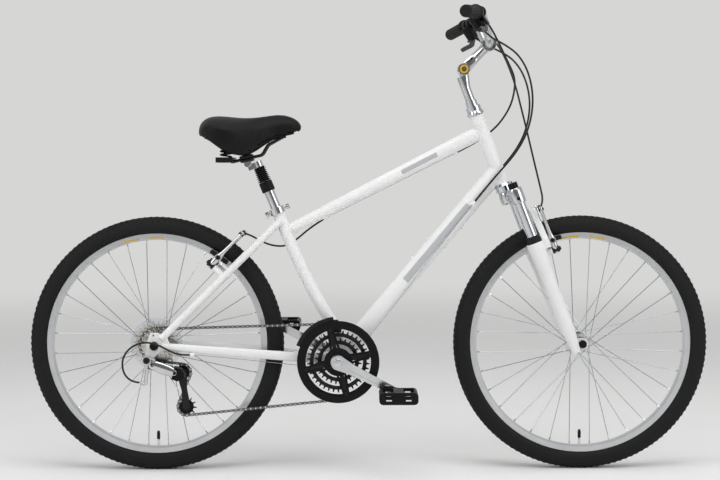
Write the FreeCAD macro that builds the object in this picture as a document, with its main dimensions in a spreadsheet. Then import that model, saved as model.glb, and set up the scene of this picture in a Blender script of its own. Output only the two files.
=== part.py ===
import FreeCAD, Part
import math
import os
import re
import Sketcher
from FreeCAD import Placement, Rotation, Vector

# Hybrid bicycle with a suspension fork, rim brakes and derailleur gears, in millimetres.
# +X points forward, +Y to the bicycle's left and +Z up.
# The origin lies on the ground, midway between the two axles.

SIZES = {
    "general": {
        "half_wheelbase": 546, "wheel_radius": 327, "running_fit": 0.08, "seat_gap": 0.3, "overrun": 4,
    },
    "tyres and rims": {
        "tyre_height": 43, "tyre_half_width": 24, "sidewall_radius": 16.5, "rim_half_width": 13.5,
        "rim_flange": 2.4, "rim_bed": 8.5, "rim_track": 13, "rim_depth": 16.5, "rim_spine": 6,
        "rim_radius": "=wheel_radius - tyre_height", "rim_bed_radius": "=rim_radius - rim_bed",
        "rim_track_radius": "=rim_radius - rim_track", "rim_inner_radius": "=rim_radius - rim_depth",
        "valve_radius": 3, "valve_length": 34,
    },
    "hubs and spokes": {
        "spoke_radius": 1.0, "spokes_per_side": 16, "spoke_crossings": 3, "spoke_sides": 6,
        "spoke_rim_offset": 3, "flange_radius": 23, "flange_thickness": 3, "flange_rim": 2.5,
        "spoke_dish": 0.8,
        "barrel_radius": 14, "hub_cap_radius": 12, "front_flange": 32, "front_hub_end": 44,
        "rear_left_flange": 33, "rear_right_flange": 20, "rear_hub_end": 61, "freewheel_seat": 17,
        "axle_radius": 4.6, "axle_overhang": 9, "nut_radius": 9, "nut_height": 7, "cone_radius": 8.5,
        "protector_radius": 67, "protector_thickness": 1, "protector_offset": 25.2,
    },
    "frame": {
        "bb_setback": 78, "bb_height": 284, "bb_shell_radius": 20.5, "bb_half_width": 34,
        "bb_bore": 17, "head_angle": 69, "fork_offset": 40, "head_gap": 57, "head_length": 186,
        "head_bottom": "=wheel_radius + crown_gap + head_gap",
        "head_radius": 18.5, "head_bore": 15.5, "seat_top_setback": 238, "seat_top_height": 676,
        "seat_angle": 67.5, "seat_straight_share": 0.5357, "seat_foot_ahead": 26.5, "seat_foot_rise": 21.4,
        "seat_tube_radius": 15.6, "seat_bore_depth": 200, "top_tube_drop_front": 42,
        "top_tube_drop_rear": 66, "top_tube_front": 19, "top_tube_rear": 14.5, "top_tube_width": 14,
        "down_tube_rise": 34, "down_tube_front": 24, "down_tube_rear": 23, "down_tube_width": 19,
        "boss_radius": 6, "boss_height": 3, "boss_hole": 2.1, "boss_depth": 16, "boss_pitch": 64,
        "boss_upper_start": 250, "boss_under_start": 170,
    },
    "rear stays": {
        "chainstay_root": 24, "chainstay_front_height": 13, "chainstay_rear_height": 9.5,
        "chainstay_width": 6.6, "stay_spread": 70.5,
        "seatstay_radius": 9.5, "seatstay_neck": 37, "seatstay_root": 14, "seatstay_neck_along": 345,
        "seatstay_top_drop": 34, "seatstay_foot": 26, "bridge_radius": 7, "bridge_along": 348,
        "lower_bridge_setback": 192, "dropout_inner": 67.5, "dropout_thickness": 6,
        "dropout_radius": 19, "hanger_setback": 16, "hanger_drop": 34, "hanger_radius": 11,
        "eyelet_radius": 6.5, "eyelet_hole": 2.6, "eyelet_setback": 2, "eyelet_rise": 27,
    },
    "headset and seat clamp": {
        "cup_radius": 22.5, "lower_cup_height": 20.7, "upper_cup_height": 14, "locknut_height": 12,
        "locknut_radius": 19.5, "collar_radius": 20, "collar_height": 16, "collar_ear": 10,
        "skewer_radius": 2.6, "skewer_reach": 24, "skewer_nut_radius": 7, "skewer_nut_length": 9,
        "quick_lever_length": 44, "quick_lever_radius": 3.8, "quick_cam_radius": 7,
    },
    "suspension fork": {
        "leg_offset": 18, "leg_spread": 62, "stanchion_radius": 14.3, "stanchion_bottom": 112,
        "crown_gap": 71, "crown_bottom": "=wheel_radius + crown_gap", "crown_height": 36,
        "crown_clamp_radius": 19.5, "crown_depth": 20,
        "steerer_radius": 14.3, "knob_radius": 12.5, "knob_height": 15, "leg_top_drop": 41,
        "leg_top": "=wheel_radius - leg_top_drop",
        "leg_foot_radius": 11.2, "leg_mid_radius": 17.5, "leg_top_radius": 22.5, "leg_flare": 200,
        "leg_foot": 14, "leg_bore_bottom": 50, "seal_height": 18, "seal_foot_radius": 19.4, "seal_radius": 17,
        "arch_front": 54, "arch_back": 38, "arch_half_width": 66, "arch_inner_half_width": 36,
        "arch_gap": 13, "arch_band": 28, "arch_root": 24, "arch_shoulder": 34,
        "arch_inner_top": "=wheel_radius + arch_gap", "arch_top": "=arch_inner_top + arch_band",
        "arch_foot": "=leg_top - arch_root",
        "fork_tip_inner": 50, "fork_tip_thickness": 8, "fork_tip_radius": 15, "fork_eyelet_rise": 24,
    },
    "stem and handlebar": {
        "quill_radius": 12.6, "quill_depth": 80, "quill_collar": 15, "stem_stack": 123,
        "stem_pivot_along": "=head_bottom + head_length + stem_stack",
        "stem_pivot_ahead": 12, "pivot_radius": 15.5, "pivot_half_width": 13, "stem_length": 91,
        "stem_rise": 45, "stem_arm_height": 13, "stem_arm_width": 14, "stem_fork": 26,
        "clamp_radius": 19, "clamp_half_width": 22, "bar_radius": 11.1, "bar_bulge": 12.7,
        "bar_middle": 40, "bar_knee": 112, "bar_half_width": 310, "bar_setback": 26,
        "bar_rise": 70, "bar_end_setback": 79, "bar_end_rise": 53, "bar_bend": 45,
        "grip_radius": 15.5, "grip_flange": 19, "grip_length": 122, "grip_end": 4,
    },
    "brake and shift levers": {
        "control_along": 60, "control_clamp_radius": 15.5, "control_clamp_width": 14,
        "control_pitch": 54, "lever_pivot_out": 16, "lever_pivot_reach": 33, "lever_reach": 53,
        "lever_length": 118, "lever_width": 11, "lever_half_thickness": 4.5, "lever_barrel": 7,
        "lever_pin": 2.6, "bracket_half_thickness": 8, "lever_knee": 42, "barrel_radius_adjuster": 4,
        "barrel_length_adjuster": 12, "pod_setback": 24, "pod_radius": 15, "pod_drop": 20, "pod_aim": 53,
        "pod_reach": 34,
        "pod_width": 12, "thumb_radius": 9, "thumb_thickness": 5, "thumb_length": 36, "thumb_width": 12,
    },
    "rim brakes": {
        "front_brake_ahead": 24, "rear_brake_ahead": 45, "brake_boss_spread": 40,
        "pad_inset": 7.7, "pad_radius_on_rim": "=rim_radius - pad_inset", "pivot_below_pad": 26,
        "boss_base_radius": 8, "brake_pin": 4,
        "brake_arm_length": 113, "brake_arm_depth": 11, "brake_arm_foot": 9, "brake_arm_tip": 5.5,
        "brake_arm_lean": 12, "pad_clearance": 1.4, "pad_length": 52, "pad_height": 10,
        "pad_thickness": 11, "pad_stud": 4, "pad_nut": 6.5, "pad_nut_height": 5,
        "brake_bolt_radius": 6, "brake_bolt_height": 4,
    },
    "chain drive": {
        "chain_pitch": 12.7, "roller_radius": 3.85, "tooth_gap": 0.2, "tooth_tip": 1.1,
        "tooth_height": 3.4, "inner_plate": 1.6, "plate_thickness": 0.9, "plate_height": 4.1,
        "plate_end": 4.3, "ring_thickness": 1.9, "big_teeth": 48, "middle_teeth": 38,
        "small_teeth": 28, "ring_offset": 58, "ring_pitch": 7.5, "ring_web": 10, "ring_post": 4,
        "spider_inner": 24, "spider_reach": 91, "spider_width": 11, "cog_thickness": 1.8,
        "cog_offset": 29, "cog_pitch": 4.9, "drive_cog": 3, "carrier_radius": 21,
        "freewheel_end": 60.5, "freewheel_start": 26.5, "pulley_teeth": 11, "pulley_thickness": 2.2,
        "pulley_hub": 5.2, "pulley_hub_half": 4.2,
    },
    "cranks and pedals": {
        "crank_length": 170, "crank_droop": 27, "spindle_radius": 8.5, "spindle_half": 88,
        "crank_inner": 73, "crank_thickness": 13, "crank_boss": 19, "crank_eye": 12.5,
        "crank_root": 13.5, "crank_tip": 10, "crank_groove_depth": 2, "crank_groove_half": 4,
        "guard_radius": 105, "guard_band": 18,
        "guard_inner_face": 65.8, "guard_thickness": 3.4, "guard_hub": 36, "guard_rib": 6,
        "guard_rib_spread": 13, "guard_rib_tip": 5, "guard_turn": 14,
        "pedal_axle": 6.5, "pedal_start": 97, "pedal_width": 95, "pedal_length": 97,
        "pedal_height": 30, "pedal_wall": 9, "pedal_barrel": 12.5, "pedal_window": 14,
        "pedal_corner": 10,
    },
    "rear derailleur": {
        "rd_slant": 20.4, "rd_pivot_ahead": 14, "rd_pivot_drop": 12, "rd_link": 60,
        "rd_link_half_height": 12, "rd_link_thickness": 7, "rd_link_end": 6.5, "rd_pin": 2,
        "rd_outer": 94, "rd_inner": 81, "rd_ear": 4, "rd_web": 8, "rd_knuckle": 12,
        "rd_cage_reach": 14, "rd_cage_length": 88, "rd_cage_plate": 1.6, "rd_cage_half_gap": 5.6,
        "rd_cage_head": 14, "rd_cage_tail": 9.5, "rd_cage_waist": 6.5, "rd_pulley_bolt": 3,
        "rd_knuckle_inner": 51.2, "rd_boss_radius": 11,
    },
    "front derailleur": {
        "fd_clamp_along": 62, "fd_clamp_height": 13, "fd_clamp_wall": 3, "fd_plate": 1.2,
        "fd_outer_low": 102.4, "fd_outer_high": 115, "fd_inner_low": 97, "fd_outer_offset": 62.8,
        "fd_inner_offset": 51, "fd_sweep": 62, "fd_bridge": 12,
        "fd_body_length": 34, "fd_body_height": 14, "fd_arm_length": 18,
        "fd_arm_reach": 15, "fd_shift": 15,
    },
    "seat post and saddle": {
        "post_radius": 13.6, "post_insert": 100, "post_top": 52, "plunger_radius": 11,
        "plunger_insert": 90, "boot_nut_height": 22, "boot_nut_radius": 17.3, "boot_height": 40,
        "boot_rib": 18.5, "boot_groove": 14.6, "boot_ribs": 8, "head_height": 15, "head_back": 26,
        "head_half_width": 12, "head_round": 13, "rail_radius": 3.5, "rail_spread": 22,
        "cradle_half_width": 30, "cradle_length": 36, "seat_travel": 30,
        "clamp_setback": 74, "clamp_height": 127.3, "clamp_slope": 12, "clamp_upper": 9,
        "clamp_lower": 20, "clamp_bolt": 4, "clamp_gap": 0.6,
        "saddle_tail": 199, "saddle_length": 270, "saddle_skirt": 140, "saddle_height": 98,
        "saddle_half_width": 102, "saddle_draw_in": 7, "base_thickness": 4,
        "nose_block_ahead": 20, "nose_block_length": 26, "nose_block_half_width": 19,
        "nose_block_foot": 180, "spring_boss": 14, "rear_rail_setback": 114, "rear_rail_height": 112,
        "rail_knee_setback": 34, "rail_knee_height": 136, "rail_rise_setback": 19,
        "rail_rise_height": 162, "rail_nose_ahead": 24, "rail_nose_height": 185,
        "rail_nose_spread": 11, "rail_bend": 16,
        "spring_radius": 10.8, "spring_wire": 2.2, "spring_turns": 4, "spring_rise": 9,
        "spring_spread": 35, "spring_setback": 128, "spring_foot": 130,
        "bracket_length": 44, "bracket_drop": 6, "bracket_height": 13, "bracket_half_width": 58,
    },
    "cables": {
        "housing_radius": 2.5, "wire_radius": 0.8, "stop_radius": 5.5, "stop_length": 12,
        "cable_lead": 22, "lug_radius": 5, "adjuster_radius": 4, "adjuster_length": 16,
    },
}

COG_TEETH = (28, 24, 22, 20, 18, 16, 14)

SIDE = Rotation(Vector(1, 0, 0), 90)
ACROSS = Vector(0, 1, 0)

doc = FreeCAD.newDocument("hybrid_bicycle")
dims = doc.addObject("Spreadsheet::Sheet", "dims")
PIECES = []


def fill_sheet():
    """Writes every driving size to the sheet, one row each, under its group's heading."""
    cells = {}
    row = 1
    for heading, sizes in SIZES.items():
        dims.set(f"A{row}", heading)
        row += 1
        for alias, size in sizes.items():
            dims.set(f"A{row}", alias)
            dims.setAlias(f"B{row}", alias)
            cells[f"B{row}"] = str(size)
            row += 1
    for cell, size in cells.items():
        dims.set(cell, size)
    doc.recompute()


def bound(text):
    """Turns a formula of size names into an expression on the sheet."""
    return re.sub(r"\b(?!sqrt\b|sin\b|cos\b|tan\b)([a-z]\w*)", r"dims.\1", str(text))


def value(text):
    """Works a formula of size names out as a number."""
    return float(dims.evalExpression(str(text)))


def keep(label, piece, place=None):
    """Names a finished sub-part and sets where it stands."""
    if place is not None:
        piece.Placement = place
    piece.Label = label
    PIECES.append(piece)
    return piece


def solid(kind, name, place=None, **sizes):
    """Makes a primitive whose sizes follow the sheet."""
    piece = doc.addObject(f"Part::{kind}", name)
    for size, text in sizes.items():
        piece.setExpression(size, bound(text))
    if place is not None:
        piece.Placement = place
    return piece


def fuse(name, pieces):
    """Joins several pieces to one solid."""
    joined = doc.addObject("Part::MultiFuse", name)
    joined.Shapes = pieces
    joined.Refine = True
    return joined


def cut(name, base, tool):
    """Takes one piece away from another."""
    result = doc.addObject("Part::Cut", name)
    result.Base = base
    result.Tool = tool
    return result


def group(name, pieces):
    """Keeps several solids together as one sub-part."""
    several = doc.addObject("Part::Compound", name)
    several.Links = pieces
    return several


def shaped(name, shape):
    """Makes a sub-part whose shape is worked out from the sheet's values."""
    piece = doc.addObject("Part::Feature", name)
    piece.Shape = shape
    return piece


def pointing(start, direction):
    """Stands a piece's own Z axis along a direction."""
    return Placement(start, Rotation(Vector(0, 0, 1), direction))


def rod(name, start, end, radius):
    """Makes a round rod between two points."""
    piece = solid("Cylinder", name, pointing(start, end - start), Radius=radius)
    piece.Height = start.distanceToPoint(end)
    return piece


def edge_between(before, after, radius):
    """Gives a sketch edge and the ends that meet the corners before and after it."""
    if radius == 0:
        return Part.LineSegment(before, after), 1, 2
    chord = after - before
    left = Vector(-chord.y, chord.x, 0).normalize()
    reach = math.sqrt(max(radius * radius - chord.Length * chord.Length / 4, 0))
    middle = (before + after) * 0.5 + left * math.copysign(reach, radius)
    circle = Part.Circle(middle, Vector(0, 0, 1), abs(radius))
    start, stop = (before, after) if radius > 0 else (after, before)
    angles = [math.atan2(corner.y - middle.y, corner.x - middle.x) for corner in (start, stop)]
    arc = Part.ArcOfCircle(circle, angles[0], angles[1])
    return (arc, 1, 2) if radius > 0 else (arc, 2, 1)


def new_sketch(body, name, role):
    """Starts a sketch on one of the body's own planes."""
    sketch = body.newObject("Sketcher::SketchObject", name)
    plane = next(plane for plane in body.Origin.OriginFeatures if plane.Role == role)
    sketch.AttachmentSupport = [(plane, "")]
    sketch.MapMode = "FlatFace"
    return sketch


def bind(sketch, kind, *ends, text):
    """Adds a dimension that follows the sheet."""
    index = sketch.addConstraint(Sketcher.Constraint(kind, *ends, value(text)))
    sketch.setExpression(f"Constraints[{index}]", bound(text))


def draw(sketch, corners):
    """Draws a closed outline: each corner has x, y and, where an arc leads to it, the arc's radius.

    A positive radius turns to the left, a negative one to the right.
    """
    spots = [Vector(value(corner[0]), value(corner[1]), 0) for corner in corners]
    edges = []
    for index, corner in enumerate(corners):
        radius = value(corner[2]) if len(corner) > 2 else 0
        shape, first, last = edge_between(spots[index - 1], spots[index], radius)
        edges.append((sketch.addGeometry(shape), first, last))
    for index, (edge, first, last) in enumerate(edges):
        follower, start, _ = edges[(index + 1) % len(edges)]
        corner = corners[index]
        sketch.addConstraint(Sketcher.Constraint("Coincident", edge, last, follower, start))
        bind(sketch, "DistanceX", -1, 1, edge, last, text=corner[0])
        bind(sketch, "DistanceY", -1, 1, edge, last, text=corner[1])
        if len(corner) > 2:
            bind(sketch, "Radius", edge, text=str(corner[2]).replace("-(", "(", 1))


def draw_circle(sketch, radius, x="0", y="0"):
    """Draws a circle."""
    middle = Vector(value(x), value(y), 0)
    edge = sketch.addGeometry(Part.Circle(middle, Vector(0, 0, 1), value(radius)))
    bind(sketch, "DistanceX", -1, 1, edge, 3, text=x)
    bind(sketch, "DistanceY", -1, 1, edge, 3, text=y)
    bind(sketch, "Radius", edge, text=radius)


def revolved(name, corners):
    """Turns an outline of radii and places along the axis about the body's own Z axis."""
    body = doc.addObject("PartDesign::Body", name)
    sketch = new_sketch(body, f"{name}_profile", "XZ_Plane")
    draw(sketch, corners)
    turn = body.newObject("PartDesign::Revolution", f"{name}_turn")
    turn.Profile = sketch
    turn.ReferenceAxis = (sketch, ["V_Axis"])
    turn.Angle = 360
    return body


def padded(name, thickness, *outlines, circles=()):
    """Makes a plate from outlines and circles in its own XY plane."""
    body = doc.addObject("PartDesign::Body", name)
    sketch = new_sketch(body, f"{name}_outline", "XY_Plane")
    for corners in outlines:
        draw(sketch, corners)
    for circle in circles:
        draw_circle(sketch, *circle)
    pad = body.newObject("PartDesign::Pad", f"{name}_pad")
    pad.Profile = sketch
    pad.setExpression("Length", bound(thickness))
    return body


def bent_path(points, radius=None):
    """Joins points with straight runs and tangent arcs, each as large as its runs allow."""
    edges = []
    radii = []
    start = points[0]
    for before, corner, after in zip(points, points[1:], points[2:]):
        back = (before - corner).normalize()
        ahead = (after - corner).normalize()
        half_turn = (math.pi - back.getAngle(ahead)) / 2
        run = min(before.distanceToPoint(corner), corner.distanceToPoint(after))
        largest = 0.45 * run / math.tan(half_turn)
        bend = largest if radius is None else min(radius, largest)
        setback = bend * math.tan(half_turn)
        inward = (back + ahead).normalize()
        middle = corner + inward * (bend / math.cos(half_turn) - bend)
        first, last = corner + back * setback, corner + ahead * setback
        edges.append(Part.LineSegment(start, first).toShape())
        edges.append(Part.Arc(first, middle, last).toShape())
        radii.append(bend)
        start = last
    edges.append(Part.LineSegment(start, points[-1]).toShape())
    return Part.Wire(edges), radii


def bent_tube(points, radius, bend=None):
    """Makes a round tube along straight runs and tangent arcs."""
    path, _ = bent_path(points, bend)
    ring = Part.Wire(Part.Circle(points[0], points[1] - points[0], radius).toShape())
    return path.makePipeShell([ring], True, False)


def moved(point, place):
    """Carries a point from a sub-assembly's own frame to the bicycle's."""
    return place.multVec(point)


def tilted(angle):
    """Leans a frame back so that its Z axis rises at this angle from the ground."""
    return Rotation(ACROSS, angle - 90)


fill_sheet()

REAR_AXLE = Vector(-dims.half_wheelbase, 0, dims.wheel_radius)
FRONT_AXLE = Vector(dims.half_wheelbase, 0, dims.wheel_radius)
BOTTOM_BRACKET = Vector(-dims.bb_setback, 0, dims.bb_height)
STEER_TILT = tilted(dims.head_angle)
STEERING = Placement(FRONT_AXLE - STEER_TILT.multVec(Vector(dims.fork_offset, 0, 0)), STEER_TILT)
SEAT = Placement(Vector(-dims.seat_top_setback, 0, dims.seat_top_height), tilted(dims.seat_angle))
SADDLE = Placement(SEAT.Base, Rotation())


def along_steering(ahead, left, up):
    """Gives a point of the steering frame: ahead of its axis, to the left and up along it."""
    return moved(Vector(ahead, left, up), STEERING)


def along_seat(ahead, left, up):
    """Gives a point of the seat frame: ahead of the post's axis, to the left and up along it."""
    return moved(Vector(ahead, left, up), SEAT)


# Wheels

def tyre(wheel, axle):
    """Casing and tube: a round section that necks in between the rim's flanges."""
    bead = "rim_half_width - rim_flange - seat_gap"
    neck = "rim_radius + seat_gap"
    middle = "wheel_radius - tyre_half_width"
    bed = "rim_bed_radius + seat_gap"
    corners = [
        (bed, f"-({bead})"), (bed, bead), (neck, bead),
        (middle, "tyre_half_width", "-(sidewall_radius)"),
        ("wheel_radius", "0", "-(tyre_half_width)"),
        (middle, "-tyre_half_width", "-(tyre_half_width)"),
        (neck, f"-({bead})", "-(sidewall_radius)"),
    ]
    keep(f"{wheel}_tyre", revolved(f"{wheel}_tyre_body", corners), Placement(axle, SIDE))


def rim(wheel, axle):
    """Box-section rim with brake tracks, hooked flanges and the valve that stands in its lowest hole."""
    inner = "rim_half_width - rim_flange"
    corners = [
        ("rim_radius", "rim_half_width"), ("rim_track_radius", "rim_half_width"),
        ("rim_inner_radius", "rim_spine"), ("rim_inner_radius", "-rim_spine"),
        ("rim_track_radius", "-rim_half_width"), ("rim_radius", "-rim_half_width"),
        ("rim_radius", f"-({inner})"), ("rim_bed_radius", f"-({inner})"),
        ("rim_bed_radius", inner), ("rim_radius", inner),
    ]
    hoop = revolved(f"{wheel}_rim_body", corners)
    top = Vector(0, -dims.rim_inner_radius - dims.overrun, 0)
    bottom = Vector(0, -dims.rim_inner_radius + dims.valve_length, 0)
    valve = rod(f"{wheel}_valve", top, bottom, "valve_radius")
    keep(f"{wheel}_rim", fuse(f"{wheel}_rim_whole", [hoop, valve]), Placement(axle, SIDE))


def spoke(start, end):
    """Thin straight spoke between a flange hole and the rim."""
    corners = []
    for index in range(int(dims.spoke_sides) + 1):
        turn = 2 * math.pi * index / dims.spoke_sides
        corners.append(Vector(dims.spoke_radius * math.cos(turn), dims.spoke_radius * math.sin(turn), 0))
    section = Part.Face(Part.makePolygon(corners))
    section.Placement = pointing(start, end - start)
    return section.extrude(end - start)


def spokes(wheel, axle, left_flange, right_flange):
    """Crossed spokes: each flange alternates outside spokes that trail with inside spokes that lead."""
    count = int(dims.spokes_per_side)
    step = 2 * math.pi / count
    sweep = dims.spoke_crossings * step
    hole_radius = dims.flange_radius - dims.flange_rim
    rim_end = dims.rim_inner_radius - dims.seat_gap
    beside = dims.flange_thickness / 2 + dims.spoke_radius + dims.running_fit
    wires = []
    for flange, sign, shift in ((right_flange, 1, 0), (-left_flange, -1, step / 2)):
        for index in range(count):
            outside = index % 2
            turn = index * step + shift + step / 4
            lead = turn + (-sweep if outside else sweep)
            face = sign * (beside + dims.spoke_dish) if outside else -sign * beside
            rim_offset = sign * dims.spoke_rim_offset if outside else 0
            start = Vector(hole_radius * math.cos(turn), hole_radius * math.sin(turn), flange + face)
            end = Vector(rim_end * math.cos(lead), rim_end * math.sin(lead), rim_offset)
            wires.append(spoke(start, end))
    keep(f"{wheel}_spokes", shaped(f"{wheel}_spoke_set", Part.makeCompound(wires)), Placement(axle, SIDE))


def hub(wheel, axle, left_flange, right_flange, end, right_radius):
    """Hub shell: two flanges on a barrel, bored to run on the axle."""
    half = "flange_thickness / 2"
    bore = "axle_radius + running_fit"
    corners = [
        (bore, f"-({end})"), ("hub_cap_radius", f"-({end})"), ("hub_cap_radius",
                                                               f"-({left_flange}) - {half}"),
        ("flange_radius", f"-({left_flange}) - {half}"), ("flange_radius", f"-({left_flange}) + {half}"),
        ("barrel_radius", f"-({left_flange}) + {half}"), ("barrel_radius", f"{right_flange} - {half}"),
        ("flange_radius", f"{right_flange} - {half}"), ("flange_radius", f"{right_flange} + {half}"),
        (right_radius, f"{right_flange} + {half}"), (right_radius, end), (bore, end),
    ]
    keep(f"{wheel}_hub", revolved(f"{wheel}_hub_body", corners), Placement(axle, SIDE))


def wheel_axle(label, axle, hub_end, inner_face, thickness):
    """Axle with a cone against each side of the hub and a nut outside each drop-out."""
    outer = f"{inner_face} + {thickness}"
    end = f"{outer} + axle_overhang"
    nut = f"{outer} + nut_height"
    cone = f"{hub_end} + seat_gap"
    corners = [
        ("0", f"-({end})"), ("axle_radius", f"-({end})"), ("axle_radius", f"-({nut})"),
        ("nut_radius", f"-({nut})"), ("nut_radius", f"-({outer})"), ("axle_radius", f"-({outer})"),
        ("axle_radius", f"-({inner_face})"), ("cone_radius", f"-({inner_face})"),
        ("cone_radius", f"-({cone})"), ("axle_radius", f"-({cone})"),
    ]
    corners += [(radius, f"-({place})") for radius, place in reversed(corners)]
    keep(label, revolved(f"{label}_body", corners), Placement(axle, SIDE))


def wheels():
    """Both wheels, with their axles."""
    for wheel, axle in (("front", FRONT_AXLE), ("rear", REAR_AXLE)):
        tyre(wheel, axle)
        rim(wheel, axle)
    spokes("front", FRONT_AXLE, dims.front_flange, dims.front_flange)
    spokes("rear", REAR_AXLE, dims.rear_left_flange, dims.rear_right_flange)
    hub("front", FRONT_AXLE, "front_flange", "front_flange", "front_hub_end", "hub_cap_radius")
    hub("rear", REAR_AXLE, "rear_left_flange", "rear_right_flange", "rear_hub_end", "freewheel_seat")
    wheel_axle("front_axle", FRONT_AXLE, "front_hub_end", "fork_tip_inner", "fork_tip_thickness")
    wheel_axle("rear_axle", REAR_AXLE, "rear_hub_end", "dropout_inner", "dropout_thickness")
    disc = padded("protector_disc", "protector_thickness",
                  circles=[("protector_radius",), ("freewheel_seat + running_fit",)])
    keep("spoke_protector", disc, Placement(REAR_AXLE - ACROSS * dims.protector_offset, SIDE))


# Frame

def loft_tube(name, start, end, first, last, width):
    """Oval tube, tall in side view, that tapers from one end to the other."""
    direction = end - start
    sections = []
    for index, (spot, height) in enumerate(((start, first), (end, last))):
        oval = solid("Ellipse", f"{name}_{index}", MajorRadius=height, MinorRadius=width)
        turn = Rotation(Vector(direction.z, 0, -direction.x), ACROSS, direction, "ZXY")
        oval.Placement = Placement(spot, turn)
        sections.append(oval)
    tube = doc.addObject("Part::Loft", name)
    tube.Sections = sections
    tube.Solid = True
    tube.Ruled = True
    return tube


def seat_tube_points():
    """The seat tube's top, bend and foot."""
    straight = dims.seat_straight_share * (dims.seat_top_height - dims.bb_height)
    foot = BOTTOM_BRACKET + Vector(dims.seat_foot_ahead, 0, dims.seat_foot_rise)
    return [along_seat(0, 0, 0), along_seat(0, 0, -straight), foot]


def top_tube_ends():
    """The top tube's front and rear ends."""
    front = along_steering(0, 0, dims.head_bottom + dims.head_length - dims.top_tube_drop_front)
    return front, along_seat(0, 0, -dims.top_tube_drop_rear)


def down_tube_ends():
    """The down tube's front and rear ends."""
    return along_steering(0, 0, dims.head_bottom + dims.down_tube_rise), BOTTOM_BRACKET


def by_tube(start, end, along, left, up):
    """Gives a point beside a tube: along it from its start, to the left and up square to it."""
    run = (end - start).normalize()
    over = Vector(-run.z, 0, run.x) * math.copysign(1, run.x)
    return start + run * along + ACROSS * left + over * up


def bottle_bosses(start, end):
    """Threaded bosses for bottle cages, above and below the down tube."""
    height = (dims.down_tube_front + dims.down_tube_rear) / 2 + dims.boss_height
    bosses = []
    holes = []
    for side, first in ((1, dims.boss_upper_start), (-1, dims.boss_under_start)):
        for index in range(2):
            along = first + index * dims.boss_pitch
            face = by_tube(start, end, along, 0, side * height)
            root = by_tube(start, end, along, 0, side * (height - dims.boss_depth))
            inward = (root - face).normalize()
            bosses.append(rod("bottle_boss", face, root, "boss_radius"))
            holes.append(rod("bottle_hole", face, root, "boss_hole"))
            print("boss", [round(x, 3) for x in face], [round(x, 5) for x in -inward])
    return bosses, holes


def cable_stop(name, end, beyond):
    """Stop brazed to a tube, and the bore that takes the cable's housing."""
    run = (beyond - end).normalize() * (dims.stop_length / 2)
    stop = rod(f"{name}_stop", end - run, end + run, "stop_radius")
    hole = rod(f"{name}_hole", end - run * 2, end + run * 2, "housing_radius + running_fit")
    return stop, hole


def front_triangle():
    """Head tube, oval top and down tubes, a curved seat tube and the bottom bracket shell."""
    head_start = along_steering(0, 0, dims.head_bottom)
    head_end = along_steering(0, 0, dims.head_bottom + dims.head_length)
    head = rod("head_tube", head_start, head_end, "head_radius")
    top = loft_tube("top_tube", *top_tube_ends(), "top_tube_front", "top_tube_rear", "top_tube_width")
    down = loft_tube("down_tube", *down_tube_ends(), "down_tube_front", "down_tube_rear", "down_tube_width")
    seat = shaped("seat_tube", bent_tube(seat_tube_points(), dims.seat_tube_radius))
    shell_place = Placement(BOTTOM_BRACKET + ACROSS * dims.bb_half_width, SIDE)
    shell = solid("Cylinder", "bb_shell", shell_place, Radius="bb_shell_radius", Height="2 * bb_half_width")
    bosses, holes = bottle_bosses(*down_tube_ends())
    stops = [
        ("brake_front", *rear_brake_route()[:-3:-1]), ("brake_rear", *rear_brake_tail()[:2]),
        ("gear_right", *shift_route(1)[:-3:-1]), ("gear_left", *shift_route(-1)[:-3:-1]),
    ]
    for stop, hole in (cable_stop(*place) for place in stops):
        bosses.append(stop)
        holes.append(hole)
    whole = fuse("front_tubes", [head, top, down, seat, shell] + bosses)
    overrun = ACROSS * dims.overrun
    up = STEER_TILT.multVec(Vector(0, 0, dims.overrun))
    bores = [
        rod("head_bore_tool", head_start - up, head_end + up, "head_bore"),
        rod("lower_cup_room", along_steering(0, 0, dims.head_bottom - 2 * dims.lower_cup_height), head_start,
            "cup_radius + seat_gap"),
        rod("upper_cup_room", head_end, along_steering(0, 0, dims.head_bottom + dims.head_length
            + 2 * dims.upper_cup_height), "cup_radius + seat_gap"),
        rod("seat_bore_tool", along_seat(0, 0, -dims.seat_bore_depth), along_seat(0, 0, dims.overrun),
            "post_radius + running_fit"),
        rod("bb_bore_tool", BOTTOM_BRACKET + ACROSS * dims.bb_half_width + overrun,
            BOTTOM_BRACKET - ACROSS * dims.bb_half_width - overrun, "bb_bore"),
    ]
    bored = cut("front_triangle_body", whole, fuse("front_bores", bores + holes))
    keep("front_triangle", bored)


def stay_frame():
    """Frame of the rear stays: origin at the axle, Z along the seat stays and X square to them."""
    top = along_seat(0, 0, -dims.seatstay_top_drop)
    run = top - REAR_AXLE
    return Placement(REAR_AXLE, Rotation(Vector(-run.z, 0, run.x), -ACROSS, run, "ZXY")), run.Length


def brake_boss(place, ahead, along, side, reach_back):
    """Boss with a stub pin that a brake arm turns on."""
    spread = side * dims.brake_boss_spread
    root = moved(Vector(reach_back, spread, along), place)
    face = moved(Vector(ahead - dims.brake_arm_depth / 2 - dims.seat_gap, spread, along), place)
    tip = moved(Vector(ahead + dims.brake_arm_depth / 2 + dims.seat_gap, spread, along), place)
    head = moved(Vector(ahead + dims.brake_arm_depth / 2 + dims.seat_gap + dims.brake_bolt_height, spread,
                        along),
                 place)
    return [rod("brake_boss", root, face, "boss_base_radius"), rod("brake_pin", face, tip, "brake_pin"),
            rod("brake_bolt", tip, head, "brake_bolt_radius")]


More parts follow.
